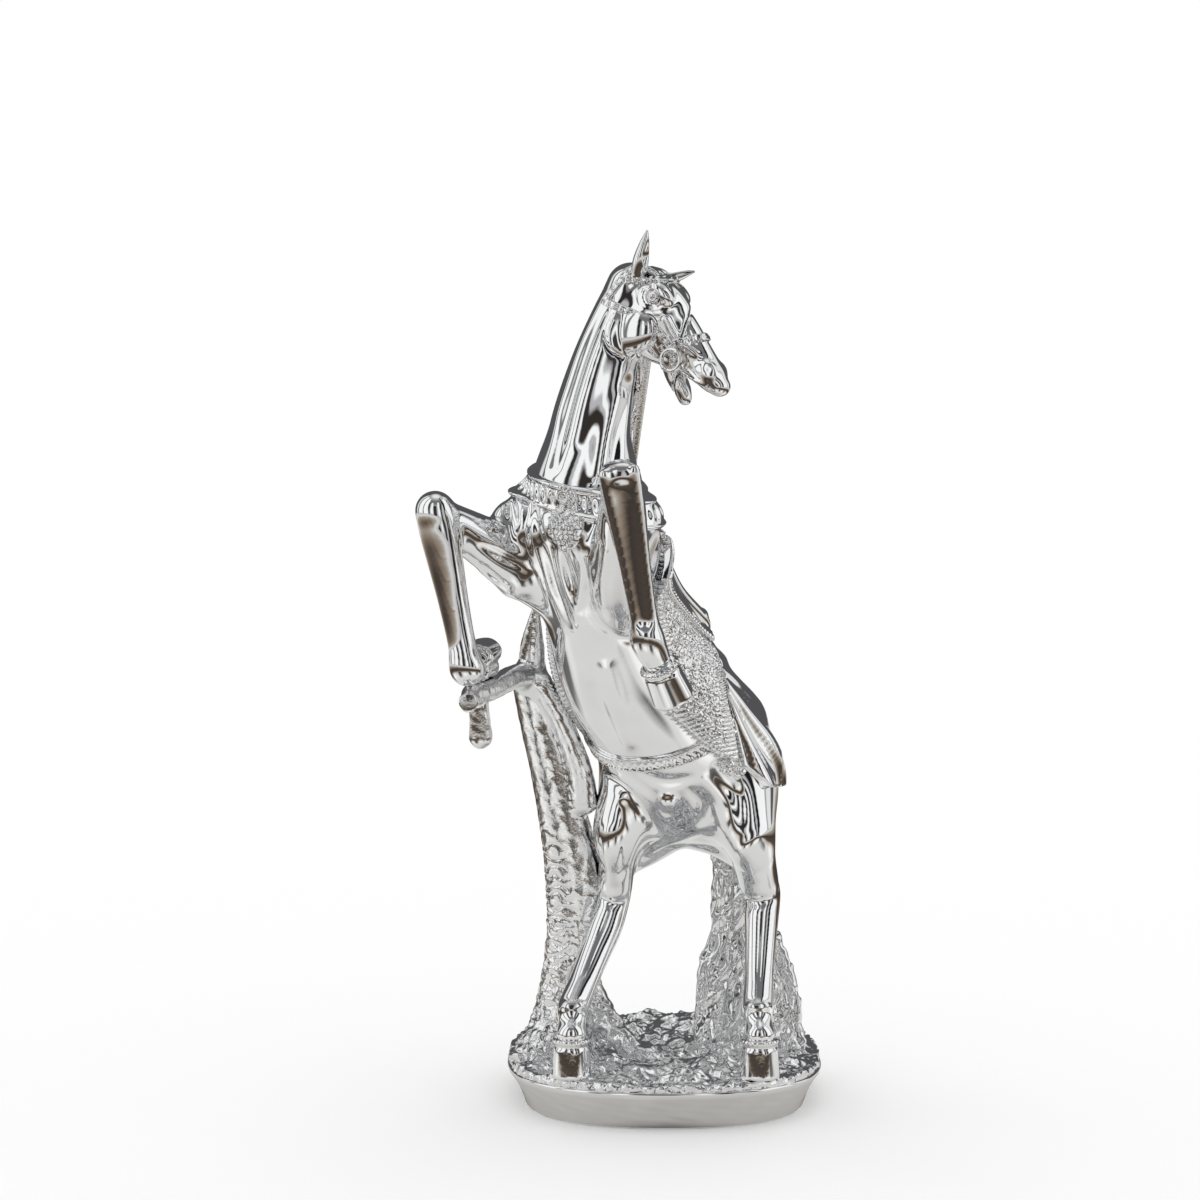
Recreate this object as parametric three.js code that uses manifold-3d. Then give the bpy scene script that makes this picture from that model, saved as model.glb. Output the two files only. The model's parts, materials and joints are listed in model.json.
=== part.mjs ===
// Rearing horse ornament on a rocky plinth, propped by a tree trunk.
// Millimetres, +Z up. The origin is the centre of the plinth's flat underside.
// The horse faces -Y and is turned a little towards -X. Its left side is towards +X.
import * as THREE from 'three';
import { mergeVertices } from 'three/addons/utils/BufferGeometryUtils.js';
import Module from 'manifold-3d';

const wasm = await Module();
wasm.setup();

// Clearances and fits
const SEAT_GAP = 0.3;
const SMALLEST_FACET = 0.02;
const STRAP_THICKNESS = 1.8;
const CLOTH_THICKNESS = 2.6;

// Plinth and ground
const PLINTH_WIDTH = 137;
const PLINTH_DEPTH = 146;
const PLINTH_HEIGHT = 17;
const PLINTH_TAPER = 7.5;
const PLINTH_SQUARENESS = 2.5;
const GROUND_THICKNESS = 4.2;
const GROUND_RELIEF = 1.6;
const CRAG_HEIGHT = 3.4;
const GROUND_TOP = PLINTH_HEIGHT + SEAT_GAP + GROUND_THICKNESS;
const HOOF_SINK = 1.2;

// Posture of the body
const BODY_YAW = THREE.MathUtils.degToRad(31);
const BODY_PITCH = THREE.MathUtils.degToRad(58);
const PELVIS_YAW = THREE.MathUtils.degToRad(8);
const PELVIS = new THREE.Vector3(12, -16, 137);
const TORSO_LENGTH = 158;
const HIP_SPREAD = 18;
const SHOULDER_SPREAD = 19;

// Neck and head
const NECK_LENGTH = 84;
const NECK_ARCH = 3;
const HEAD_LENGTH = 57.5;
const HEAD_YAW = THREE.MathUtils.degToRad(60);
const HEAD_PITCH = THREE.MathUtils.degToRad(45);
const JAW_OPENING = THREE.MathUtils.degToRad(24);
const JAW_LENGTH = 17;
const EAR_LENGTH = 18;
const EYE_RADIUS = 2.6;
const MANE_LOCKS = 5;
const TAIL_LOCKS = 4;

// Legs
const FOREARM_RADIUS = 9.5;
const FORE_KNEE_RADIUS = 8.4;
const FORE_CANNON_RADIUS = 6.4;
const GASKIN_RADIUS = 10.5;
const HIND_CANNON_RADIUS = 6.2;
const HOOF_TOP_RADIUS = 7.4;
const HOOF_BOTTOM_RADIUS = 9;
const HOOF_HEIGHT = 17;
const RIGHT_STANCE = new THREE.Vector2(-0.292 * PLINTH_WIDTH, -0.39 * PLINTH_DEPTH);
const LEFT_STANCE = new THREE.Vector2(0.285 * PLINTH_WIDTH, -0.397 * PLINTH_DEPTH);
const RIGHT_CANNON = new THREE.Vector3(17, 26, 38.5);
const LEFT_CANNON = new THREE.Vector3(3, 22, 43);
// Stifles in the pelvis's frame: ahead, to the left, and up
const RIGHT_STIFLE = [20, -29, -14];
const LEFT_STIFLE = [20, 26, -14];

// Tree
const TRUNK_FOOT = new THREE.Vector2(-0.336 * PLINTH_WIDTH, -0.096 * PLINTH_DEPTH);
const TRUNK_HEIGHT = 192;
const TRUNK_RADIUS = 11.5;
const TRUNK_FLARE = 7;
const BRANCH_RADIUS = 4.6;
const STUB_LENGTH = 18;
const TWIG_LENGTH = 9;
const STUMP_HEIGHT = 30;
const BARK_RIDGE = 0.7;

// Tack
const GIRTH_WIDTH = 6.5;
const GIRTH_PLACE = 0.25;
const PLEAT_DEPTH = 1.3;
const COLLAR_WIDTH = 8;
const ROSETTE_RADIUS = 5;
const BRIDLE_STRAP = 2.2;
const BIT_RING_RADIUS = 4.2;

const up = new THREE.Vector3(0, 0, 1);
const forward = new THREE.Vector3(-Math.sin(BODY_YAW), -Math.cos(BODY_YAW), 0);
const left = new THREE.Vector3(Math.cos(BODY_YAW), -Math.sin(BODY_YAW), 0);
const spine = forward.clone().multiplyScalar(Math.cos(BODY_PITCH)).addScaledVector(up, Math.sin(BODY_PITCH));
const belly = forward.clone().multiplyScalar(Math.sin(BODY_PITCH)).addScaledVector(up, -Math.cos(BODY_PITCH));

const pelvisForward = new THREE.Vector3(-Math.sin(PELVIS_YAW), -Math.cos(PELVIS_YAW), 0);
const pelvisLeft = new THREE.Vector3(Math.cos(PELVIS_YAW), -Math.sin(PELVIS_YAW), 0);

const headForward = new THREE.Vector3(Math.sin(HEAD_YAW), -Math.cos(HEAD_YAW), 0);
const headLeft = new THREE.Vector3(Math.cos(HEAD_YAW), Math.sin(HEAD_YAW), 0);
const [headCos, headSin] = [Math.cos(HEAD_PITCH), Math.sin(HEAD_PITCH)];
const face = headForward.clone().multiplyScalar(headCos).addScaledVector(up, -headSin);
const brow = headForward.clone().multiplyScalar(headSin).addScaledVector(up, headCos);

const polished = new THREE.MeshStandardMaterial({ color: 0xd2d4d6, metalness: 1, roughness: 0.06 });
const textured = new THREE.MeshStandardMaterial({ color: 0xc4c6c8, metalness: 1, roughness: 0.24 });

// A point in the body's frame: share of the torso's length, then left and belly offsets
function onBody(share, toLeft = 0, toBelly = 0) {
  return PELVIS.clone()
    .addScaledVector(spine, share * TORSO_LENGTH)
    .addScaledVector(left, toLeft)
    .addScaledVector(belly, toBelly);
}

// A step from a point along the horse's level directions
function step(from, ahead, toLeft, rise) {
  return from.clone().addScaledVector(forward, ahead).addScaledVector(left, toLeft).addScaledVector(up, rise);
}

// A point in the level frame of the pelvis
function onPelvis(ahead, toLeft, rise) {
  return PELVIS.clone()
    .addScaledVector(pelvisForward, ahead)
    .addScaledVector(pelvisLeft, toLeft)
    .addScaledVector(up, rise);
}

function row(at, wide, deep = wide) {
  return { at, wide, deep };
}

function cubic(a, b, c, d, t) {
  const slopeIn = (c - a) / 2;
  const slopeOut = (d - b) / 2;
  const t2 = t * t;
  const t3 = t2 * t;
  const start = (2 * t3 - 3 * t2 + 1) * b + (t3 - 2 * t2 + t) * slopeIn;
  return start + (3 * t2 - 2 * t3) * c + (t3 - t2) * slopeOut;
}

// A smooth section between the rows of a loft
function between(rows, index, t) {
  const pick = (k) => rows[THREE.MathUtils.clamp(k, 0, rows.length - 1)];
  const [a, b, c, d] = [pick(index - 1), pick(index), pick(index + 1), pick(index + 2)];
  const mix = (read) => cubic(read(a), read(b), read(c), read(d), t);
  const at = new THREE.Vector3(mix((r) => r.at.x), mix((r) => r.at.y), mix((r) => r.at.z));
  return { at, wide: mix((r) => r.wide), deep: mix((r) => r.deep) };
}

// A closed loft of oval sections with domed ends. Wide runs along the side direction.
function loft(rows, { side = left, sides = 12, steps = 3, grow = 0, dome = 0.7, ripple = () => 0 } = {}) {
  const sections = [];
  for (let i = 0; i < rows.length - 1; i += 1) {
    for (let k = 0; k < steps; k += 1) sections.push(between(rows, i, k / steps));
  }
  sections.push(between(rows, rows.length - 2, 1));
  const count = sections.length;
  const directionAt = (k) => {
    const before = sections[Math.max(k - 1, 0)].at;
    const after = sections[Math.min(k + 1, count - 1)].at;
    return after.clone().sub(before).normalize();
  };
  const rings = [];
  const addRing = (section, direction, scale, shift, share) => {
    const across = side.clone().addScaledVector(direction, -side.dot(direction)).normalize();
    const through = new THREE.Vector3().crossVectors(direction, across);
    const centre = section.at.clone().addScaledVector(direction, shift);
    const ring = [];
    for (let s = 0; s < sides; s += 1) {
      const angle = (2 * Math.PI * s) / sides;
      const swell = grow + ripple(angle, share);
      const x = (section.wide + swell) * scale * Math.cos(angle);
      const y = (section.deep + swell) * scale * Math.sin(angle);
      ring.push(centre.clone().addScaledVector(across, x).addScaledVector(through, y));
    }
    rings.push(ring);
  };
  const first = sections[0];
  const last = sections[count - 1];
  const domeFirst = dome * Math.min(first.wide, first.deep) + grow;
  const domeLast = dome * Math.min(last.wide, last.deep) + grow;
  const firstDirection = directionAt(0);
  const lastDirection = directionAt(count - 1);
  addRing(first, firstDirection, 0.6, -0.8 * domeFirst, 0);
  sections.forEach((section, k) => addRing(section, directionAt(k), 1, 0, k / (count - 1)));
  addRing(last, lastDirection, 0.6, 0.8 * domeLast, 1);
  const points = rings.flat();
  const startTip = points.push(first.at.clone().addScaledVector(firstDirection, -domeFirst)) - 1;
  const endTip = points.push(last.at.clone().addScaledVector(lastDirection, domeLast)) - 1;
  const faces = [];
  for (let s = 0; s < sides; s += 1) {
    const next = (s + 1) % sides;
    faces.push(startTip, next, s);
    const lastRing = (rings.length - 1) * sides;
    faces.push(endTip, lastRing + s, lastRing + next);
    for (let r = 0; r < rings.length - 1; r += 1) {
      const a = r * sides + s;
      const b = r * sides + next;
      faces.push(a, b, b + sides, a, b + sides, a + sides);
    }
  }
  return solidFrom(points, faces);
}

function solidFrom(points, faces) {
  const geometry = new THREE.BufferGeometry().setFromPoints(points);
  geometry.setIndex(faces);
  return toSolid(geometry);
}

// A closed geometry becomes a solid with its faces outward
function toSolid(source) {
  const geometry = source.clone();
  geometry.deleteAttribute('normal');
  geometry.deleteAttribute('uv');
  const merged = mergeVertices(geometry, 1e-4);
  const vertProperties = Float32Array.from(merged.attributes.position.array);
  const triVerts = Uint32Array.from(merged.index.array);
  const facets = { numProp: 3, vertProperties, triVerts, tolerance: SMALLEST_FACET };
  const solid = new wasm.Manifold(new wasm.Mesh(facets));
  if (solid.volume() >= 0) return solid;
  for (let i = 0; i < triVerts.length; i += 3) {
    const kept = triVerts[i];
    triVerts[i] = triVerts[i + 1];
    triVerts[i + 1] = kept;
  }
  return new wasm.Manifold(new wasm.Mesh(facets));
}

function join(solids) {
  return solids.reduce((whole, piece) => whole.add(piece));
}

function carve(solid, cutters) {
  return cutters.reduce((rest, cutter) => rest.subtract(cutter), solid);
}

// The largest body that a cut leaves
function mainBody(solid) {
  const bodies = solid.decompose();
  return bodies.reduce((best, body) => (body.volume() > best.volume() ? body : best));
}

// Vertices that only touch are drawn a hair apart along their own normals
function partTouching(geometry) {
  const { position, normal } = geometry.attributes;
  const read = (attribute, i) => new THREE.Vector3().fromBufferAttribute(attribute, i);
  const places = Array.from({ length: position.count }, (_, i) => read(position, i));
  places.forEach((place, i) => {
    const touches = places.some((other, j) => j !== i && place.distanceTo(other) < SMALLEST_FACET / 2);
    if (!touches) return;
    position.setXYZ(i, ...place.clone().addScaledVector(read(normal, i), SMALLEST_FACET).toArray());
  });
}

function ball(centre, radii, axes, grow = 0, detail = [12, 8]) {
  const geometry = new THREE.SphereGeometry(1, detail[0], detail[1]);
  const [a, b, c] = axes;
  const matrix = new THREE.Matrix4().makeBasis(
    a.clone().multiplyScalar(radii[0] + grow),
    b.clone().multiplyScalar(radii[1] + grow),
    c.clone().multiplyScalar(radii[2] + grow),
  );
  matrix.setPosition(centre);
  geometry.applyMatrix4(matrix);
  return toSolid(geometry);
}

// An outline drawn in the plane of two directions and run along a third
function slab(outline, origin, [alongX, alongY, alongZ], from, to) {
  const geometry = new THREE.ExtrudeGeometry(new THREE.Shape(outline), {
    depth: to - from,
    bevelEnabled: false,
    curveSegments: 8,
  });
  geometry.translate(0, 0, from);
  const matrix = new THREE.Matrix4().makeBasis(alongX, alongY, alongZ);
  matrix.setPosition(origin);
  geometry.applyMatrix4(matrix);
  return toSolid(geometry);
}

function outline(...pairs) {
  return pairs.map(([x, y]) => new THREE.Vector2(x, y));
}

const bodyAxes = [left, belly, spine];
const pelvisAxes = [pelvisLeft, pelvisForward, up];
const headAxes = [headLeft, brow, face];

// Torso: barrel, haunches, shoulders and breast, as one casting
const BARREL_PROFILE = [
  { share: -0.1, shift: 0, drop: -4, wide: 17, deep: 18 },
  { share: 0.02, shift: 1, drop: -1, wide: 26, deep: 27 },
  { share: 0.14, shift: 1, drop: 0, wide: 33, deep: 32 },
  { share: 0.28, shift: -2.5, drop: 1, wide: 32.5, deep: 33 },
  { share: 0.44, shift: -8, drop: 4.5, wide: 30, deep: 31 },
  { share: 0.6, shift: -8, drop: 7, wide: 26, deep: 28 },
  { share: 0.76, shift: -7, drop: 7, wide: 24, deep: 27.5 },
  { share: 0.9, shift: -5.5, drop: 5, wide: 21.5, deep: 25 },
  { share: 1, shift: -4, drop: 3, wide: 17.5, deep: 21 },
];
const BARREL = BARREL_PROFILE.map((p) => row(onBody(p.share, p.shift, p.drop), p.wide, p.deep));

// How far the back lies behind the spine line at a share of the torso
function backDepth(share) {
  const next = BARREL_PROFILE.findIndex((p) => p.share >= share);
  const [a, b] = [BARREL_PROFILE[next - 1], BARREL_PROFILE[next]];
  const t = (share - a.share) / (b.share - a.share);
  return THREE.MathUtils.lerp(a.deep - a.drop, b.deep - b.drop, t);
}

function barrel(grow, ripple, sides = 14) {
  return loft(BARREL, { sides, steps: 1, grow, ripple });
}

function muscles(grow) {
  const hip = (sign) => onPelvis(-2, sign * HIP_SPREAD, 0);
  const haunch = (sign) => ball(hip(sign), [15.5, 24, 26], pelvisAxes, grow, [10, 6]);
  const shoulderAt = (sign) => onBody(0.84, sign * SHOULDER_SPREAD - 4, 9);
  const shoulder = (sign) => ball(shoulderAt(sign), [8, 19, 19], bodyAxes, grow, [8, 5]);
  const breast = (sign) => ball(onBody(0.88, sign * 9 - 3, 24), [10, 9, 20], bodyAxes, grow, [8, 5]);
  const point = (sign) => ball(onBody(0.93, sign * 24 - 2, 15), [11, 14, 15], bodyAxes, grow, [8, 5]);
  return [haunch, shoulder, breast, point].flatMap((muscle) => [muscle(1), muscle(-1)]);
}

function torsoSolid(grow = 0) {
  return join([barrel(grow), ...muscles(grow)]);
}

// Neck: twists from the body's direction to the head's
const neckRoot = onBody(0.98, -4, 0);
const neckRise = new THREE.Vector3(0.212, -0.06, 0.975);
const poll = neckRoot.clone().addScaledVector(neckRise, NECK_LENGTH);

// A point along the neck, bowed ahead and drawn towards the crest
function neckPoint(share, bow) {
  const arch = NECK_ARCH * Math.sin(Math.PI * THREE.MathUtils.clamp(share, 0, 1) ** 0.8);
  return neckRoot.clone().lerp(poll, share).addScaledVector(forward, bow).add(new THREE.Vector3(-arch, 0, 0));
}

const NECK = [
  row(neckPoint(-0.14, -3), 18, 26),
  row(neckPoint(0.08, -1), 18.5, 24),
  row(neckPoint(0.32, 1.5), 16, 20),
  row(neckPoint(0.58, 2), 13.5, 16.5),
  row(neckPoint(0.8, 1), 11.5, 13.5),
  row(neckPoint(1.0, 0), 9, 10.5),
];
const neckSide = left.clone().add(headLeft).normalize();

function neckSolid(grow = 0) {
  return loft(NECK, { side: neckSide, sides: 12, steps: 1, grow });
}

// Head: sections from poll to upper lip
function onHead(along, toBrow = 0, toLeft = 0) {
  return poll.clone()
    .addScaledVector(face, along * HEAD_LENGTH)
    .addScaledVector(brow, toBrow)
    .addScaledVector(headLeft, toLeft);
}

const HEAD = [
  row(onHead(0, 0), 7.5, 9),
  row(onHead(0.12, -2), 10.3, 14),
  row(onHead(0.27, -1), 11.5, 16),
  row(onHead(0.45, -1), 9.5, 14.5),
  row(onHead(0.6, 0.2), 7.4, 10.6),
  row(onHead(0.8, 0.8), 6.6, 7),
  row(onHead(0.93, 0.2), 7, 5.8),
  row(onHead(1.0, 0.2), 5.2, 4.2),
];
const CHEEK_RADIUS = 10.5;

function headSolid(grow = 0) {
  const skull = loft(HEAD, { side: headLeft, sides: 12, steps: 1, grow });
  const cheekRadii = [4.4, CHEEK_RADIUS, CHEEK_RADIUS];
  const cheek = (sign) => ball(onHead(0.25, -8, sign * 7), cheekRadii, headAxes, grow, [10, 5]);
  const browRidge = (sign) => ball(onHead(0.26, 11.2, sign * 6.8), [3.4, 2.8, 6.4], headAxes, grow, [6, 4]);
  const nostril = (sign) => ball(onHead(0.89, 2.8, sign * 4.8), [2.4, 3.2, 4], headAxes, grow, [6, 4]);
  return join([skull, cheek(1), cheek(-1), browRidge(1), browRidge(-1), nostril(1), nostril(-1)]);
}

const jawDirection = face.clone()
  .multiplyScalar(Math.cos(JAW_OPENING))
  .addScaledVector(brow, -Math.sin(JAW_OPENING));

function jawPoint(along, lift = 0) {
  return onHead(0.6, -7.5).addScaledVector(jawDirection, along * JAW_LENGTH).addScaledVector(brow, lift);
}

function jawSolid(grow = 0) {
  const rows = [
    row(jawPoint(0), 5.6, 4.4),
    row(jawPoint(0.35, -0.4), 4.8, 4.4),
    row(jawPoint(0.72, 0.4), 4.6, 4),
    row(jawPoint(1, 0), 3.4, 2.8),
  ];
  return loft(rows, { side: headLeft, sides: 10, steps: 1, grow });
}

// Ears: hollow cups that taper to a point. The left one is laid out to the side.
const ears = {
  right: {
    foot: onHead(0.04, 8, -6.6),
    lean: up.clone().addScaledVector(headForward, 0.3).addScaledVector(headLeft, -0.1).normalize(),
    open: headForward,
  },
  left: {
    foot: onHead(0.05, 5, 7.5),
    lean: headForward.clone()
      .multiplyScalar(0.8)
      .addScaledVector(headLeft, 0.55)
      .addScaledVector(up, 0.24)
      .normalize(),
    open: up,
  },
};

function earSolid({ foot, lean, open }, grow = 0) {
  const at = (share) => foot.clone().addScaledVector(lean, share * EAR_LENGTH);
  const shell = loft(
    [row(at(0), 3.2, 3), row(at(0.35), 3.8, 3), row(at(0.7), 2.6, 2), row(at(1), 0.7, 0.6)],
    { side: headLeft, sides: 8, steps: 1, grow },
  );
  const inside = at(0.45).addScaledVector(open, 2.6);
  const hollow = loft(
    [
      row(inside.clone().addScaledVector(lean, -0.26 * EAR_LENGTH), 1.6, 1.6),
      row(inside, 2.3, 2.2),
      row(inside.clone().addScaledVector(lean, 0.34 * EAR_LENGTH), 0.8, 1),
    ],
    { side: headLeft, sides: 6, steps: 1, grow: -grow },
  );
  return shell.subtract(hollow);
}

// Locks of hair: tapering lofts along short curves
function lock(points, width, thickness, side, sides = 6, grow = 0) {
  const last = points.length - 1;
  const rows = points.map((at, k) => {
    const share = k / last;
    const taper = 0.45 + 0.55 * Math.sin(Math.PI * Math.min(1, 0.25 + 0.62 * share));
    return row(at, width * taper, thickness * taper);
  });
  return loft(rows, { side, sides, steps: 1, grow });
}

function maneSolid(grow = 0) {
  const locks = [];
  const fall = forward.clone().multiplyScalar(0.7).sub(up);
  const flatways = new THREE.Vector3().crossVectors(neckSide, fall).normalize();
  for (let k = 0; k < MANE_LOCKS; k += 1) {
    const share = 0.12 + (0.82 * k) / (MANE_LOCKS - 1);
    const crestDepth = 21 - 10 * share;
    const root = neckPoint(share, -crestDepth);
    const sweep = 12 - 6 * share;
    const wave = (k % 2) * 2;
    const fallen = (aside, ahead, drop) => root.clone()
      .addScaledVector(neckSide, aside)
      .addScaledVector(forward, ahead)
      .addScaledVector(up, -drop);
    locks.push(lock([
      root,
      fallen(6, 3 + wave, 3),
      fallen(sweep, 8 + wave, 10),
      fallen(sweep + 1, 13 - wave, 19),
    ], 6.4, 2.8, flatways, 5, grow));
  }
  const shares = [0.06, 0.34, 0.62, 0.9];
  const crest = shares.map((s) => row(neckPoint(s, -21.5 + 10 * s), 3, 4));
  const hangs = (s) => neckPoint(s, -15 + 6 * s).addScaledVector(neckSide, 9.5 - 4 * s);
  const curtain = shares.map((s) => row(hangs(s), 10 - 3 * s, 4.6));
  const slant = neckSide.clone().multiplyScalar(0.62).addScaledVector(forward, 0.78).normalize();
  return join([
    ...locks,
    loft(crest, { side: neckSide, sides: 6, steps: 1, grow }),
    loft(curtain, { side: slant, sides: 8, steps: 1, grow }),
  ]);
}

function forelockSolid(grow = 0) {
  const root = onHead(0.02, 10.5, 0);
  return join([-1, 0, 1].map((k) => lock([
    root.clone().addScaledVector(headLeft, k * 2.4),
    root.clone().addScaledVector(headLeft, k * 3.4 + 1).addScaledVector(brow, 2).addScaledVector(face, 4),
    root.clone().addScaledVector(headLeft, k * 3.8 + 3).addScaledVector(brow, 2.4).addScaledVector(face, 9),
  ], 2.6, 1.8, headLeft, 5, grow)));
}

// Forelegs: folded at the knee, cannon hanging down
const rightElbow = onBody(0.8, -SHOULDER_SPREAD - 5, 22);
const leftElbow = onBody(0.82, SHOULDER_SPREAD - 2, 26);
const rightKnee = step(rightElbow, 46, -20, 27);
const leftKnee = step(leftElbow, 40, 24, 41);
const rightFetlock = step(rightKnee, -7, 10, -62);
const leftFetlock = step(leftKnee, -12, 5, -62);

function forelegLimbs(elbow, knee, fetlock, pastern) {
  const inBody = elbow.clone().lerp(knee, -0.3);
  return {
    forearm: [
      row(inBody, 10, 11),
      row(elbow, 11, 13.5),
      row(elbow.clone().lerp(knee, 0.5), FOREARM_RADIUS, FOREARM_RADIUS + 1.5),
      row(elbow.clone().lerp(knee, 0.88), FORE_KNEE_RADIUS - 0.8),
      row(knee, FORE_KNEE_RADIUS - 0.6),
    ],
    cannon: [
      row(knee, FORE_KNEE_RADIUS),
      row(knee.clone().lerp(fetlock, 0.2), FORE_CANNON_RADIUS + 1.4),
      row(knee.clone().lerp(fetlock, 0.5), FORE_CANNON_RADIUS),
      row(knee.clone().lerp(fetlock, 0.86), FORE_CANNON_RADIUS - 0.4),
      row(fetlock, FORE_CANNON_RADIUS + 1),
      row(pastern, FORE_CANNON_RADIUS - 0.6),
    ],
  };
}

const rightPastern = step(rightFetlock, -8, -2.5, 0.5);
const leftPastern = step(leftFetlock, -5, 1, -8);
const forelegs = {
  right: forelegLimbs(rightElbow, rightKnee, rightFetlock, rightPastern),
  left: forelegLimbs(leftElbow, leftKnee, leftFetlock, leftPastern),
};

// The left cannon's front is hollowed between two edges
function kneeHollow(grow = 0) {
  const shin = leftFetlock.clone().sub(leftKnee).normalize();
  const front = new THREE.Vector3(0, -1, 0);
  const ahead = front.addScaledVector(shin, -front.dot(shin)).normalize();
  const at = (share, lift) => leftKnee.clone().lerp(leftFetlock, share).addScaledVector(ahead, lift);
  const side = new THREE.Vector3().crossVectors(shin, ahead);
  const rows = [
    row(at(0.02, FORE_KNEE_RADIUS + 1.2), 4.6, 2.8),
    row(at(0.3, FORE_KNEE_RADIUS + 0.4), 3.9, 2.6),
    row(at(0.8, FORE_KNEE_RADIUS - 0.6), 2.8, 2.4),
  ];
  return loft(rows, { side, sides: 8, steps: 1, grow: -grow });
}

function forelegSolid(name, grow = 0) {
  const { forearm, cannon } = forelegs[name];
  const limb = join([
    loft(forearm, { sides: 10, steps: 1, grow }),
    loft(cannon, { sides: 10, steps: 1, grow }),
  ]);
  return name === 'left' ? limb.subtract(kneeHollow(grow)) : limb;
}

// A hoof is a turned bell with a heel cut across its back
function hoofSolid(coronet, direction, back, grow = 0) {
  const flare = HOOF_BOTTOM_RADIUS - HOOF_TOP_RADIUS;
  const profile = [
    new THREE.Vector2(0, -grow),
    new THREE.Vector2(HOOF_TOP_RADIUS + 0.5 + grow, -grow),
    new THREE.Vector2(HOOF_TOP_RADIUS + 0.9 + grow, 1.6),
    new THREE.Vector2(HOOF_TOP_RADIUS + grow, 2.6),
    new THREE.Vector2(HOOF_TOP_RADIUS + 0.55 * flare + grow, 0.55 * HOOF_HEIGHT),
    new THREE.Vector2(HOOF_BOTTOM_RADIUS + grow, HOOF_HEIGHT + grow),
    new THREE.Vector2(0, HOOF_HEIGHT + grow),
  ];
  const geometry = new THREE.LatheGeometry(profile, 12);
  const axisZ = new THREE.Vector3().crossVectors(direction, back).normalize();
  const axisX = new THREE.Vector3().crossVectors(axisZ, direction).negate().normalize();
  const third = new THREE.Vector3().crossVectors(axisX, direction);
  const turn = new THREE.Matrix4().makeBasis(axisX, direction, third);
  turn.setPosition(coronet);
  geometry.applyMatrix4(turn);
  const bell = toSolid(geometry);
  const heelAt = coronet.clone().addScaledVector(back, 0.74 * HOOF_BOTTOM_RADIUS + grow);
  const half = 2 * HOOF_BOTTOM_RADIUS;
  const across = new THREE.Vector3().crossVectors(up, back).normalize();
  const heel = slab(
    outline([-half, -half], [half, -half], [half, half], [-half, half]),
    heelAt,
    [across, new THREE.Vector3().crossVectors(back, across).normalize(), back],
    0,
    half,
  );
  return bell.subtract(heel);
}

// Hind legs: from the haunch down to hooves flat on the ground
const hoofFloor = GROUND_TOP - HOOF_SINK;

function hindLegRows(sign, [ahead, toLeft, rise], stance, cannon) {
  const coronet = new THREE.Vector3(stance.x, stance.y, hoofFloor + HOOF_HEIGHT);
  const fetlock = coronet.clone().add(new THREE.Vector3(-sign * 0.6, 7, 10.5));
  const stifle = onPelvis(ahead, toLeft, rise);
  const hock = fetlock.clone().add(cannon);
  const gaskin = (share) => stifle.clone().lerp(hock, share);
  const shin = (share) => hock.clone().lerp(fetlock, share);
  const thigh = [
    row(onPelvis(-2, sign * (HIP_SPREAD - 3), 20), 15, 20),
    row(onPelvis(7, sign * (HIP_SPREAD + 2), 6), 15, 21),
    row(stifle, 11.5, 15),
    row(gaskin(0.4).add(new THREE.Vector3(0, 1, 0)), GASKIN_RADIUS - 0.9, GASKIN_RADIUS + 2),
  ];
  const shank = [
    row(gaskin(0.2), 10.2, 13.4),
    row(gaskin(0.4).add(new THREE.Vector3(0, 1, 0)), GASKIN_RADIUS - 0.9, GASKIN_RADIUS + 2),
    row(gaskin(0.76), GASKIN_RADIUS - 1.5, GASKIN_RADIUS),
    row(hock, 7.8, 9.2),
    row(shin(0.18), HIND_CANNON_RADIUS, HIND_CANNON_RADIUS + 1),
    row(shin(0.68), HIND_CANNON_RADIUS - 0.6, HIND_CANNON_RADIUS - 0.2),
    row(fetlock, HIND_CANNON_RADIUS + 0.6, HIND_CANNON_RADIUS + 1.2),
    row(coronet.clone().lerp(fetlock, 0.5), HIND_CANNON_RADIUS - 0.2),
    row(coronet.clone().add(new THREE.Vector3(0, 0, 1)), HOOF_TOP_RADIUS - 1),
  ];
  const ham = [
    row(onPelvis(-16, sign * (HIP_SPREAD - 4), 2), 11, 10),
    row(onPelvis(-8, sign * (HIP_SPREAD - 2), -20), 11, 10),
    row(gaskin(0.55).add(new THREE.Vector3(0, 8, 0)), 6.5, 6),
  ];
  const point = hock.clone().add(new THREE.Vector3(0, 7.6, 3));
  return { coronet, thigh, shank, ham, point };
}

const hind = {
  right: hindLegRows(-1, RIGHT_STIFLE, RIGHT_STANCE, RIGHT_CANNON),
  left: hindLegRows(1, LEFT_STIFLE, LEFT_STANCE, LEFT_CANNON),
};

function hindLegSolid(name, grow = 0) {
  const { thigh, shank, ham, point } = hind[name];
  const across = { side: new THREE.Vector3(1, 0, 0), sides: 10, steps: 1, grow };
  const hockPoint = ball(point, [3.4, 3.6, 6], [across.side, new THREE.Vector3(0, 1, 0), up], grow, [6, 5]);
  return join([loft(thigh, across), loft(shank, { ...across, dome: 0.3 }), loft(ham, across), hockPoint]);
}

const backwards = new THREE.Vector3(0, 1, 0);
const down = up.clone().negate();

function hindHoofSolid(name, grow = 0) {
  return hoofSolid(hind[name].coronet, down, backwards, grow);
}

function foreHoof(name, grow = 0) {
  const pastern = name === 'right' ? rightPastern : leftPastern;
  const fetlock = name === 'right' ? rightFetlock : leftFetlock;
  const direction = pastern.clone().sub(fetlock).normalize();
  const back = step(new THREE.Vector3(), -1, 0, 0);
  const flat = back.addScaledVector(direction, -back.dot(direction)).normalize();
  return hoofSolid(pastern.clone().addScaledVector(direction, 2.5), direction, flat, grow);
}

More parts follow.
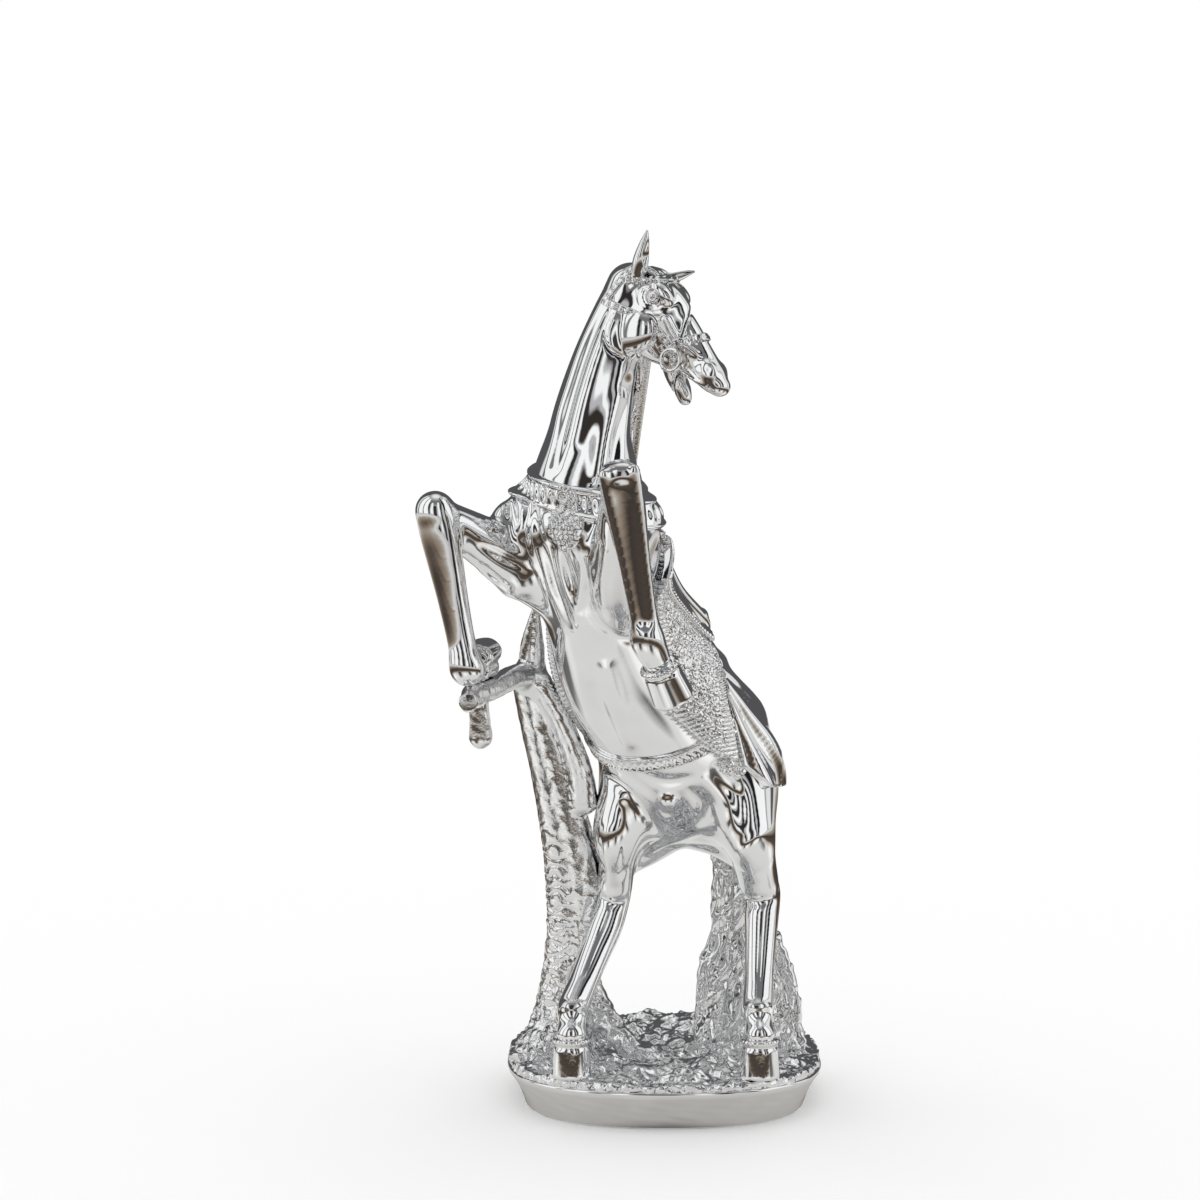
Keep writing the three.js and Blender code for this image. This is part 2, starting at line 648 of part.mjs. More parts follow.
// Tail: wavy locks from the dock to the ground behind the left hind leg
function tailSolid(grow = 0) {
  const dock = onBody(-0.13, 6, -22);
  const foot = new THREE.Vector3(LEFT_STANCE.x - 1, LEFT_STANCE.y + 54, GROUND_TOP - 1);
  const locks = [];
  for (let k = 0; k < TAIL_LOCKS; k += 1) {
    const spread = (k - (TAIL_LOCKS - 1) / 2) * 5.6;
    const wave = k % 2 === 0 ? 3 : -3;
    locks.push(lock([
      dock.clone(),
      dock.clone().lerp(foot, 0.22).add(new THREE.Vector3(spread * 0.4, 9, 4)),
      dock.clone().lerp(foot, 0.48).add(new THREE.Vector3(spread * 0.8 + wave, 8, 0)),
      dock.clone().lerp(foot, 0.74).add(new THREE.Vector3(spread * 1.2 - wave, 3 + k, 0)),
      foot.clone().add(new THREE.Vector3(spread * 2, k - 2, 0)),
    ], 6.8, 7.4, new THREE.Vector3(1, 0, 0), 5, grow));
  }
  return join(locks);
}

// Plinth: a squared oval that tapers to its foot, with a flat underside
function rimPoint(angle, share, inset = 0) {
  const [c, d] = [Math.cos(angle), Math.sin(angle)];
  const power = PLINTH_SQUARENESS;
  const spread = (Math.abs(c) ** power + Math.abs(d) ** power) ** (-1 / power);
  return new THREE.Vector2(
    (PLINTH_WIDTH / 2 - inset) * share * spread * c,
    (PLINTH_DEPTH / 2 - inset) * share * spread * d,
  );
}

function plinthSolid(grow = 0) {
  const sides = 36;
  const rings = [
    [0, PLINTH_TAPER - grow],
    [PLINTH_HEIGHT * 0.9, -grow],
    [PLINTH_HEIGHT + grow, 0.6 - grow],
  ];
  const points = [];
  const faces = [];
  rings.forEach(([height, inset]) => {
    for (let s = 0; s < sides; s += 1) {
      const { x, y } = rimPoint((2 * Math.PI * s) / sides, 1, inset);
      points.push(new THREE.Vector3(x, y, height));
    }
  });
  const foot = points.push(new THREE.Vector3(0, 0, 0)) - 1;
  const top = points.push(new THREE.Vector3(0, 0, PLINTH_HEIGHT + grow)) - 1;
  const lastRing = (rings.length - 1) * sides;
  for (let s = 0; s < sides; s += 1) {
    const next = (s + 1) % sides;
    faces.push(foot, next, s, top, lastRing + s, lastRing + next);
    for (let a = 0; a < lastRing; a += sides) {
      faces.push(a + s, a + next, a + sides + next, a + s, a + sides + next, a + sides + s);
    }
  }
  return solidFrom(points, faces);
}

// Height of the rock over its floor: long swells with crags on them
function rockHeight(x, y) {
  const hump = Math.sin(x * 0.17 + y * 0.06) * Math.cos(y * 0.15 - x * 0.05);
  const swell = hump + 0.5 * Math.sin(x * 0.41 - y * 0.33);
  const across = Math.abs(Math.sin(x * 0.118 + 1.2 * Math.sin(y * 0.06)));
  const along = Math.abs(Math.cos(y * 0.104 + 0.9 * Math.sin(x * 0.07)));
  return GROUND_THICKNESS + GROUND_RELIEF * swell + CRAG_HEIGHT * (across * along - 0.4);
}

// Ground: rings of uneven rock over the plinth
function groundSolid(grow = 0) {
  const sides = 28;
  const rings = 6;
  const floor = PLINTH_HEIGHT + SEAT_GAP;
  const lowest = 1.5;
  const edge = 2.6;
  const points = [];
  const faces = [];
  const at = (ring, s) => rimPoint((2 * Math.PI * s) / sides, ring / rings, 0.8);
  for (let ring = 1; ring <= rings; ring += 1) {
    for (let s = 0; s < sides; s += 1) {
      const { x, y } = at(ring, s);
      const height = ring === rings ? edge : Math.max(lowest, rockHeight(x, y));
      points.push(new THREE.Vector3(x, y, floor + height + grow));
    }
  }
  for (let s = 0; s < sides; s += 1) {
    const { x, y } = at(rings, s);
    points.push(new THREE.Vector3(x, y, floor));
  }
  const top = points.push(new THREE.Vector3(0, 0, floor + rockHeight(0, 0))) - 1;
  const bottom = points.push(new THREE.Vector3(0, 0, floor)) - 1;
  for (let s = 0; s < sides; s += 1) {
    const next = (s + 1) % sides;
    faces.push(top, s, next);
    faces.push(bottom, rings * sides + next, rings * sides + s);
    for (let ring = 0; ring < rings; ring += 1) {
      const a = ring * sides + s;
      const b = ring * sides + next;
      faces.push(a, a + sides, b + sides, a, b + sides, b);
    }
  }
  return solidFrom(points, faces);
}

// Tree: trunk with ring-barked sides, roots, a broken top and a branch under the raised hoof
const trunkFoot = new THREE.Vector3(TRUNK_FOOT.x, TRUNK_FOOT.y, GROUND_TOP - 2);

function trunkPoint(share) {
  const lean = new THREE.Vector3(-13 * share ** 3, -24 * share ** 2, 0);
  const sway = new THREE.Vector3(8 * Math.sin(Math.PI * Math.min(share * 1.25, 1)), 0, 0);
  return trunkFoot.clone().add(new THREE.Vector3(0, 0, share * TRUNK_HEIGHT * 0.9)).add(lean).add(sway);
}

const TRUNK = [
  row(trunkPoint(0), TRUNK_RADIUS + TRUNK_FLARE, TRUNK_RADIUS + TRUNK_FLARE - 1),
  row(trunkPoint(0.12), TRUNK_RADIUS + 2.4, TRUNK_RADIUS + 1.4),
  row(trunkPoint(0.3), TRUNK_RADIUS + 1, TRUNK_RADIUS),
  row(trunkPoint(0.5), TRUNK_RADIUS + 0.4, TRUNK_RADIUS - 0.6),
  row(trunkPoint(0.7), TRUNK_RADIUS - 2.2, TRUNK_RADIUS - 2.2),
  row(trunkPoint(0.86), TRUNK_RADIUS - 3.6, TRUNK_RADIUS - 3.6),
  row(trunkPoint(0.97), TRUNK_RADIUS - 3.8, TRUNK_RADIUS - 3.8),
];

function bark(angle, share) {
  return BARK_RIDGE * (Math.sin(share * 118 + 1.5 * Math.sin(angle)) + 0.6 * Math.sin(angle * 5 + share * 9));
}

function trunkSolid(grow = 0) {
  return loft(TRUNK, { side: new THREE.Vector3(1, 0, 0), sides: 10, steps: 4, grow, ripple: bark });
}

const ROOTS = [
  { heading: -2.75, reach: 19, rise: 24 },
  { heading: -2.05, reach: 23, rise: 28 },
  { heading: -1.2, reach: 30, rise: 24 },
  { heading: -0.35, reach: 48, rise: 44 },
  { heading: 0.55, reach: 30, rise: 22 },
  { heading: 1.9, reach: 26, rise: 22 },
];

function rootSolid({ heading, reach, rise }, grow = 0) {
  const ray = new THREE.Vector3(Math.cos(heading), Math.sin(heading), 0);
  const turn = new THREE.Vector3(-ray.y, ray.x, 0);
  const at = (share, height, bend) => trunkFoot.clone()
    .addScaledVector(ray, share * reach).addScaledVector(turn, bend).add(new THREE.Vector3(0, 0, height));
  return loft([
    row(at(0.1, rise, 0), 4.5, 5),
    row(at(0.38, rise * 0.5, 1.5), 5.4, 6),
    row(at(0.68, rise * 0.18, -1.5), 5, 5),
    row(at(1, 1.5, 1), 3.2, 3),
  ], { side: turn, sides: 6, steps: 1, grow });
}

const fork = trunkPoint(0.97);
const branchDrop = FORE_CANNON_RADIUS + BRANCH_RADIUS + 0.4;
const branchTip = rightFetlock.clone().add(new THREE.Vector3(2, 3, -branchDrop));

function knots(angle, share) {
  return 0.4 * Math.sin(share * 40 + angle);
}

// The branch carries the raised fetlock and ends in a sawn twig
function branchSolid(grow = 0) {
  const limb = loft([
    row(fork.clone(), BRANCH_RADIUS + 1.4),
    row(fork.clone().lerp(branchTip, 0.3).add(new THREE.Vector3(0, 0, 2)), BRANCH_RADIUS + 0.6),
    row(fork.clone().lerp(branchTip, 0.7), BRANCH_RADIUS),
    row(branchTip, BRANCH_RADIUS - 0.2),
  ], { side: up, sides: 8, steps: 1, grow, ripple: knots });
  const twigEnd = branchTip.clone().add(new THREE.Vector3(-1, -TWIG_LENGTH, -2));
  const twigRows = [row(branchTip, 3.8), row(twigEnd, 4)];
  const twig = loft(twigRows, { side: up, sides: 8, steps: 1, grow, dome: 0.1 });
  return join([limb, twig]);
}

function stubSolid(grow = 0) {
  const top = fork.clone().lerp(branchTip, 0.9);
  const end = top.clone().add(new THREE.Vector3(1, 2, -STUB_LENGTH));
  return loft([row(top, 4), row(top.clone().lerp(end, 0.5), 4.2), row(end, 4.8)], {
    side: new THREE.Vector3(1, 0, 0), sides: 9, steps: 1, grow, dome: 0.2,
  });
}

// The broken leader above the fork
function stumpSolid(grow = 0) {
  const top = fork.clone().add(new THREE.Vector3(3, -12, STUMP_HEIGHT));
  return loft([
    row(fork.clone().add(new THREE.Vector3(1, 0, 2)), 6, 6),
    row(fork.clone().lerp(top, 0.5), 4.8, 4.2),
    row(top, 1.5, 1.1),
  ], {
    side: new THREE.Vector3(1, 0, 0),
    sides: 8,
    steps: 2,
    grow,
    ripple: (angle, share) => 0.6 * Math.sin(angle * 3 + share * 7),
  });
}

// A slender limb beside the trunk that holds the horse's flank
function flankLimbSolid(grow = 0) {
  const foot = trunkPoint(0.66).add(new THREE.Vector3(TRUNK_RADIUS - 1, -3, 0));
  const head = fork.clone().add(new THREE.Vector3(5, -6, -2));
  return loft([
    row(foot, 6.5, 7.5),
    row(foot.clone().lerp(head, 0.3).add(new THREE.Vector3(3.5, -2, 0)), 5, 6),
    row(foot.clone().lerp(head, 0.7).add(new THREE.Vector3(3, -1, 0)), 4.4, 5.4),
    row(head, 5, 5.4),
  ], {
    side: new THREE.Vector3(1, 0, 0),
    sides: 8,
    steps: 2,
    grow,
    ripple: (angle, share) => 0.5 * Math.sin(angle * 2 + share * 22),
  });
}

// Tack that follows the body: shells of the torso between two offsets, trimmed by outlines
const sideView = [spine, belly, left];

function torsoShell(thickness, under = SEAT_GAP) {
  return torsoSolid(under + thickness).subtract(torsoSolid(under));
}

// The part of a shell that lies under an outline drawn on the horse's side
function trimmed(shell, points, grow) {
  const centre = points.reduce((sum, p) => sum.add(p), new THREE.Vector2()).divideScalar(points.length);
  const edge = points.map((p) => p.clone().add(p.clone().sub(centre).setLength(2 * grow)));
  return shell.intersect(slab(edge, PELVIS, sideView, -70, 70));
}

function girthSolid(grow = 0) {
  const at = GIRTH_PLACE * TORSO_LENGTH;
  const half = GIRTH_WIDTH / 2 + grow;
  const reach = 60;
  const band = slab(
    outline([at - half, -reach], [at + half, -reach], [at + half, reach], [at - half, reach]),
    PELVIS,
    sideView,
    -reach,
    reach,
  );
  return torsoShell(STRAP_THICKNESS + grow).intersect(band);
}

const BLANKET = outline(
  [130, -70], [128, -9], [110, -3], [106, 9], [92, 17], [66, 26], [48, 22], [33, 17],
  [25, 11], [42, 4], [50, 0], [59, -8], [66, -16], [68, -70],
);

function blanketSolid(grow = 0) {
  return trimmed(torsoShell(CLOTH_THICKNESS + grow), BLANKET, grow);
}

// Pleats fan out over the croup
const DRAPE = outline(
  [66.5, -70], [64.5, -17], [57.5, -9.5], [48.7, -1.6], [41, 2.2], [22, 9],
  [10, 6], [0, -4], [-8, -18], [-14, -36], [-16, -70],
);

function drapeSolid(grow = 0) {
  const pleats = (angle, share) => PLEAT_DEPTH * Math.sin(angle * 9) * Math.max(0, 1 - share * 2);
  const lift = SEAT_GAP + CLOTH_THICKNESS + grow;
  const outer = join([barrel(lift + PLEAT_DEPTH, pleats, 28), ...muscles(lift)]);
  return trimmed(outer.subtract(torsoSolid(SEAT_GAP)), DRAPE, grow);
}

// A scalloped ornament along the drape's hem
function hemSolid(grow = 0) {
  const along = [0, 1, 2, 3, 4].map((k) => {
    const share = k / 4;
    const at = onBody(0.165 - 0.14 * share, 32 - share, 15 - 17 * share);
    return ball(at, [4, 3.8, 4.2], bodyAxes, grow, [8, 5]);
  });
  return join(along);
}

function saddleSeat(grow = 0) {
  const seat = (share, lift, wide, deep) => row(onBody(share, -5, -backDepth(share) - lift), wide, deep);
  return loft([
    seat(0.84, 1, 5, 4),
    seat(0.8, 5, 7, 6),
    seat(0.73, 3.6, 11, 6),
    seat(0.56, 2.4, 14, 6.5),
    seat(0.42, 6, 16, 7),
    seat(0.365, 8, 13, 5),
  ], { sides: 12, steps: 1, grow });
}

const FLAPS = outline([68, -70], [126, -70], [124, -12], [113, 3], [98, -2], [84, -9], [68, -16]);

function flapsSolid(grow = 0) {
  const under = 2 * SEAT_GAP + CLOTH_THICKNESS;
  const shell = torsoSolid(under + STRAP_THICKNESS + grow).subtract(torsoSolid(under));
  return trimmed(shell, FLAPS, grow);
}

// Collar: a ring around the root of the neck, with its rosette and hanging tassel
const collarCentre = neckPoint(0.02, -1);
const collarAxis = poll.clone().sub(neckRoot).normalize().addScaledVector(forward, 0.14).normalize();

function collarSolid(grow = 0) {
  const lift = COLLAR_WIDTH / 2;
  const rows = [
    row(collarCentre.clone().addScaledVector(collarAxis, -lift - 3), 21.5, 28),
    row(collarCentre.clone(), 20, 26.5),
    row(collarCentre.clone().addScaledVector(collarAxis, lift), 18, 24.5),
  ];
  return loft(rows, { side: neckSide, sides: 18, steps: 1, grow, dome: 0.1 });
}

const collarFront = step(collarCentre, 27, 6, -4);

function rosetteSolid(grow = 0) {
  const profile = [
    new THREE.Vector2(0, -2 - grow),
    new THREE.Vector2(ROSETTE_RADIUS + grow, -2 - grow),
    new THREE.Vector2(ROSETTE_RADIUS + grow, 1 + grow),
    new THREE.Vector2(ROSETTE_RADIUS * 0.72 + grow, 2 + grow),
    new THREE.Vector2(ROSETTE_RADIUS * 0.5 + grow, 1.3 + grow),
    new THREE.Vector2(ROSETTE_RADIUS * 0.3 + grow, 2.4 + grow),
    new THREE.Vector2(0, 2.8 + grow),
  ];
  const geometry = new THREE.LatheGeometry(profile, 12);
  const third = new THREE.Vector3().crossVectors(left, forward);
  const matrix = new THREE.Matrix4().makeBasis(left, forward, third);
  matrix.setPosition(collarFront);
  geometry.applyMatrix4(matrix);
  return toSolid(geometry);
}

function tasselSolid(grow = 0) {
  const top = collarFront.clone().addScaledVector(up, -5).addScaledVector(forward, -2);
  const low = onBody(0.95, 3, 35);
  return loft([
    row(top, 6, 4),
    row(top.clone().lerp(low, 0.4).addScaledVector(forward, 1), 8.5, 4.6),
    row(top.clone().lerp(low, 0.75), 6.5, 4),
    row(low, 3, 2.4),
  ], { sides: 12, steps: 1, grow, ripple: (angle, share) => 0.5 * Math.sin(angle * 6) * (1 - share) });
}

// Bridle: straps are thin shells of the head, trimmed to bands
function headShell(thickness, grow = 0) {
  return headSolid(SEAT_GAP + thickness + grow).subtract(headSolid(SEAT_GAP));
}

const headSideView = [face, brow, headLeft];

function headBand(points) {
  return slab(outline(...points), poll, headSideView, -30, 30);
}

function strapBetween([x0, y0], [x1, y1], width, grow) {
  const length = Math.hypot(x1 - x0, y1 - y0);
  const [ux, uy] = [(x1 - x0) / length, (y1 - y0) / length];
  const [nx, ny] = [-uy * (width / 2 + grow), ux * (width / 2 + grow)];
  const [ax, ay, bx, by] = [x0 - ux * grow, y0 - uy * grow, x1 + ux * grow, y1 + uy * grow];
  return headBand([[ax - nx, ay - ny], [bx - nx, by - ny], [bx + nx, by + ny], [ax + nx, ay + ny]]);
}

const bitAt = new THREE.Vector2(0.66 * HEAD_LENGTH, -4.5);

// The headstall runs from the crown to the ring behind the cheek, over the cheek, and down to the bit
const HEADSTALL_ROUTE = [[-0.04, 12], [0.02, -8], [0.33, 0], [0.57, -1], [bitAt.x / HEAD_LENGTH, bitAt.y]];

function headstallSolid(grow = 0) {
  const route = HEADSTALL_ROUTE.map(([along, toBrow]) => [along * HEAD_LENGTH, toBrow]);
  const bands = route.slice(1).map((point, k) => strapBetween(route[k], point, BRIDLE_STRAP + 1, grow));
  return headShell(STRAP_THICKNESS * 0.6, grow).intersect(join(bands));
}

function nosebandSolid(grow = 0) {
  const line = strapBetween([0.75 * HEAD_LENGTH, 18], [0.55 * HEAD_LENGTH, -5], BRIDLE_STRAP + 1.4, grow);
  return headShell(STRAP_THICKNESS * 0.6, grow).intersect(line);
}

function browbandSolid(grow = 0) {
  const line = strapBetween([0.25 * HEAD_LENGTH, 20], [0.02 * HEAD_LENGTH, 4], BRIDLE_STRAP + 1.6, grow);
  return headShell(STRAP_THICKNESS * 0.8, grow).intersect(line);
}

function bitRing(sign, grow = 0) {
  const geometry = new THREE.TorusGeometry(BIT_RING_RADIUS, 1 + grow, 5, 10);
  const matrix = new THREE.Matrix4().makeBasis(face, brow, headLeft);
  matrix.setPosition(onHead(bitAt.x / HEAD_LENGTH, bitAt.y, sign * 9.2));
  geometry.applyMatrix4(matrix);
  return toSolid(geometry);
}

function eyeSolid(sign, grow = 0) {
  const centre = onHead(0.26, 8, sign * 9.6);
  return ball(centre, [EYE_RADIUS * 0.8, EYE_RADIUS, EYE_RADIUS], headAxes, grow, [8, 5]);
}

// Each piece is cut back by the pieces placed before it, which keep their full shape
const group = new THREE.Group();
const placed = [];

function meet(a, b) {
  const [p, q] = [a.boundingBox(), b.boundingBox()];
  return [0, 1, 2].every((k) => p.min[k] < q.max[k] && q.min[k] < p.max[k]);
}

function place(name, make, material = polished) {
  const whole = make(0);
  const seated = mainBody(carve(whole, placed.filter((other) => meet(whole, other))));
  const data = seated.getMesh();
  const geometry = new THREE.BufferGeometry();
  geometry.setAttribute('position', new THREE.BufferAttribute(Float32Array.from(data.vertProperties), 3));
  geometry.setIndex(new THREE.BufferAttribute(Uint32Array.from(data.triVerts), 1));
  geometry.computeVertexNormals();
  partTouching(geometry);
  const mesh = new THREE.Mesh(geometry, material.clone());
  mesh.name = name;
  group.add(mesh);
  placed.push(make(SEAT_GAP));
}

place('plinth', plinthSolid);
place('torso', torsoSolid);
place('eye_right', (grow) => eyeSolid(-1, grow));
place('eye_left', (grow) => eyeSolid(1, grow));
place('head', headSolid);
place('neck', neckSolid);
place('lower_jaw', jawSolid);
place('ear_right', (grow) => earSolid(ears.right, grow));
place('ear_left', (grow) => earSolid(ears.left, grow));

place('hoof_fore_right', (grow) => foreHoof('right', grow));
place('hoof_fore_left', (grow) => foreHoof('left', grow));
place('hoof_hind_right', (grow) => hindHoofSolid('right', grow));
place('hoof_hind_left', (grow) => hindHoofSolid('left', grow));
place('foreleg_right', (grow) => forelegSolid('right', grow));
place('foreleg_left', (grow) => forelegSolid('left', grow));
place('hind_leg_right', (grow) => hindLegSolid('right', grow));
place('hind_leg_left', (grow) => hindLegSolid('left', grow));

place('breast_collar', collarSolid);
place('collar_rosette', rosetteSolid);
place('collar_tassel', tasselSolid, textured);
place('saddle_blanket', blanketSolid, textured);
place('saddle_flaps', flapsSolid);
place('saddle_seat', saddleSeat);
place('rump_drape', drapeSolid);
place('drape_hem', hemSolid, textured);
place('girth_strap', girthSolid);
place('bridle_browband', browbandSolid);
place('bridle_noseband', nosebandSolid);
place('bridle_headstall', headstallSolid);
place('bit_ring_right', (grow) => bitRing(-1, grow));
place('bit_ring_left', (grow) => bitRing(1, grow));
place('forelock', forelockSolid);
place('mane', maneSolid, textured);
place('tail', tailSolid, textured);

place('tree_trunk', trunkSolid, textured);
place('tree_branch', branchSolid, textured);
place('branch_stub', stubSolid, textured);
place('broken_leader', stumpSolid, textured);
place('flank_limb', flankLimbSolid, textured);
ROOTS.forEach((root, k) => place(`tree_root_${k + 1}`, (grow) => rootSolid(root, grow), textured));
place('rocky_ground', groundSolid, textured);

export default group;
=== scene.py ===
"""Rearing horse statue: the plated surfaces that stand for its solids, in the same frame."""

import itertools
import json
import math

import bpy
import numpy as np
import openvdb
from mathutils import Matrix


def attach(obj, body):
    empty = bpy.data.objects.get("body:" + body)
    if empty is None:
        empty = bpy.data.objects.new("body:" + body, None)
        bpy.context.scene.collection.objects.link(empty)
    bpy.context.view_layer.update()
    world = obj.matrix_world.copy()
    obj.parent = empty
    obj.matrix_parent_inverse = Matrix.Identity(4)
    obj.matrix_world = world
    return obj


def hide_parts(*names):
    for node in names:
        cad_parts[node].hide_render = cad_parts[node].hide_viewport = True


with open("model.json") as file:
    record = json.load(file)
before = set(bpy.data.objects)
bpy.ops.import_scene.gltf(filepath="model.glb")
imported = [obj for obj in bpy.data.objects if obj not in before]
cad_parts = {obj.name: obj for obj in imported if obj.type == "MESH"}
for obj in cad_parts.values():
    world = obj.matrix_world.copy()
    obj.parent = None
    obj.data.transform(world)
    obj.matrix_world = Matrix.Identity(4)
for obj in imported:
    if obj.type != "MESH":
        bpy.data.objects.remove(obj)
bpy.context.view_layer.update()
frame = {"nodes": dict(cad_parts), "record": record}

MM = 0.001
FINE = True

# Distances: in empty space, where a field is clipped, the room round a shape, and one not yet found
FAR, NEAR, MARGIN, UNSEEN = 30.0, 3.0, 2.0, 1e9
UP = np.array([0.0, 0.0, 1.0])
ACROSS = np.array([1.0, 0.0, 0.0])
BACK = np.array([0.0, 1.0, 0.0])


def voxel(fine, coarse):
    return fine if FINE else coarse


# Small vector helpers, in millimetres
def vec(x, y, z):
    return np.array([x, y, z], float)


def unit(v):
    return v / np.linalg.norm(v)


def lerp(a, b, t):
    return a + (b - a) * t


def cubic(a, b, c, d, t):
    slope_in, slope_out = (c - a) / 2, (d - b) / 2
    t2, t3 = t * t, t * t * t
    ends = (2 * t3 - 3 * t2 + 1) * b + (3 * t2 - 2 * t3) * c
    return ends + (t3 - 2 * t2 + t) * slope_in + (t3 - t2) * slope_out


def resample(rows, steps):
    """Smooth stations through rows of (x, y, z, values...)."""
    rows = [np.asarray(r, float) for r in rows]
    last = len(rows) - 1
    result = []
    for i in range(last):
        a, b, c, d = rows[max(i - 1, 0)], rows[i], rows[i + 1], rows[min(i + 2, last)]
        result += [cubic(a, b, c, d, k / steps) for k in range(steps)]
    result.append(rows[-1])
    return result


# Signed distances on voxels
class Grid:
    """A box of voxels that hold the distance to a surface: below zero is inside."""

    def __init__(self, low, high, size):
        self.low = np.array(low, float)
        self.voxel = size
        self.shape = tuple(int(math.ceil((h - l) / size)) + 1 for l, h in zip(low, high))
        self.field = np.full(self.shape, FAR, np.float32)

    def span(self, low, high):
        first = np.clip(np.floor((low - self.low) / self.voxel).astype(int), 0, None)
        last = np.minimum(np.ceil((high - self.low) / self.voxel).astype(int) + 1, self.shape)
        return (first, last) if np.all(first < last) else None

    def axes(self, first, last):
        values = []
        for k in range(3):
            shape = [1, 1, 1]
            shape[k] = -1
            line = self.low[k] + self.voxel * np.arange(first[k], last[k])
            values.append(line.astype(np.float32).reshape(shape))
        return values

    def places(self, mask):
        """The voxels in a mask, as three lists of coordinates."""
        lines = zip(self.low, np.nonzero(mask))
        return [(low + self.voxel * index).astype(np.float32) for low, index in lines]

    def whole(self):
        return self.axes((0, 0, 0), self.shape)


def cut_out(field, first, last):
    return field[tuple(slice(a, b) for a, b in zip(first, last))]


def shifted(x, y, z, origin):
    return [line - np.float32(start) for line, start in zip((x, y, z), origin)]


def along_way(x, y, z, way):
    return x * np.float32(way[0]) + y * np.float32(way[1]) + z * np.float32(way[2])


def in_frame(x, y, z, origin, axes):
    """Coordinates of places along the axes of a frame, from its origin."""
    places = shifted(x, y, z, origin)
    return [along_way(*places, way) for way in axes]


def smooth_min(a, b, blend):
    h = np.maximum(blend - np.abs(a - b), 0) / blend
    return np.minimum(a, b) - h * h * (blend * 0.25)


def oval(u, v, over, wide, deep, round_end):
    near = np.sqrt((u / wide) ** 2 + (v / deep) ** 2 + (over / round_end) ** 2)
    slope = np.sqrt((u / wide**2) ** 2 + (v / deep**2) ** 2 + (over / round_end**2) ** 2)
    return near * (near - 1) / np.maximum(slope, 1e-4)


LOFT_REACH = 9


def loft(rows, side, steps=12):
    """A limb through rows of (point, wide, deep); wide runs along the side direction."""
    stations = np.array(resample([(*p, wide, deep) for p, wide, deep in rows], steps))
    points, sizes = stations[:, :3], stations[:, 3:]
    tangents = np.gradient(points, axis=0)
    tangents /= np.linalg.norm(tangents, axis=1)[:, None]
    across = side - (tangents @ side)[:, None] * tangents
    across /= np.linalg.norm(across, axis=1)[:, None]
    frames = np.hstack([points, across, np.cross(tangents, across), tangents, sizes]).astype(np.float32)
    biggest = sizes.max()

    def distance(x, y, z):
        lines = [axis.ravel() for axis in (x, y, z)]
        whole = tuple(len(line) for line in lines)
        best = np.full(whole, UNSEEN, np.float32)
        place = np.zeros(whole, np.float32)
        for k, (a, b) in enumerate(zip(points, points[1:])):
            reach = max(*sizes[k], *sizes[k + 1]) + LOFT_REACH
            cuts = [
                slice(*np.searchsorted(line, (min(p, q) - reach, max(p, q) + reach)))
                for line, p, q in zip(lines, a, b)
            ]
            if any(cut.start >= cut.stop for cut in cuts):
                continue
            px, py, pz = shifted(x[cuts[0]], y[:, cuts[1]], z[:, :, cuts[2]], a)
            line = b - a
            share = np.clip(along_way(px, py, pz, line) / line.dot(line), 0, 1).astype(np.float32)
            square = (px - share * line[0]) ** 2 + (py - share * line[1]) ** 2 + (pz - share * line[2]) ** 2
            block, spots = best[tuple(cuts)], place[tuple(cuts)]
            closer = square < block
            block[closer] = square[closer]
            spots[closer] = k + share[closer]
        seen = best < UNSEEN
        index = np.nonzero(seen)
        base = np.minimum(place[seen].astype(int), len(points) - 2)
        share = (place[seen] - base)[:, None]
        row = frames[base] * (1 - share) + frames[base + 1] * share
        offset = np.column_stack([line[i] for line, i in zip(lines, index)]) - row[:, :3]
        u, v, over = (np.einsum("ij,ij->i", offset, row[:, c:c + 3]) for c in (3, 6, 9))
        result = np.full(whole, FAR, np.float32)
        result[seen] = oval(u, v, over, row[:, 12], row[:, 13], np.minimum(row[:, 12], row[:, 13]))
        return result

    return [(points.min(axis=0) - biggest, points.max(axis=0) + biggest, distance)]


def between(a, b, rows):
    """Rows for a loft along the line from a to b, from rows of (share, wide, deep)."""
    return [(lerp(a, b, share), wide, deep) for share, wide, deep in rows]


def ball(centre, radii, axes):
    """An ellipsoid."""
    biggest = max(radii)

    def distance(x, y, z):
        return oval(*in_frame(x, y, z, centre, axes), *(np.float32(r) for r in radii))

    return [(centre - biggest, centre + biggest, distance)]


def stroke(points, radii, steps=8):
    """A round cord through points, for folds, ridges and tendons."""
    if np.isscalar(radii):
        radii = [radii] * len(points)
    stations = resample([(*p, r) for p, r in zip(points, radii)], steps)
    return [_capsule(a[:3], b[:3], a[3], b[3]) for a, b in zip(stations, stations[1:])]


def _capsule(a, b, start, end):
    line = b - a
    square = float(line.dot(line))
    biggest = max(start, end)

    def distance(x, y, z):
        x, y, z = shifted(x, y, z, a)
        share = np.clip(along_way(x, y, z, line) / np.float32(square), 0, 1)
        x, y, z = (place - share * np.float32(part) for place, part in zip((x, y, z), line))
        return np.sqrt(x * x + y * y + z * z) - (np.float32(start) + np.float32(end - start) * share)

    return np.minimum(a, b) - biggest, np.maximum(a, b) + biggest, distance


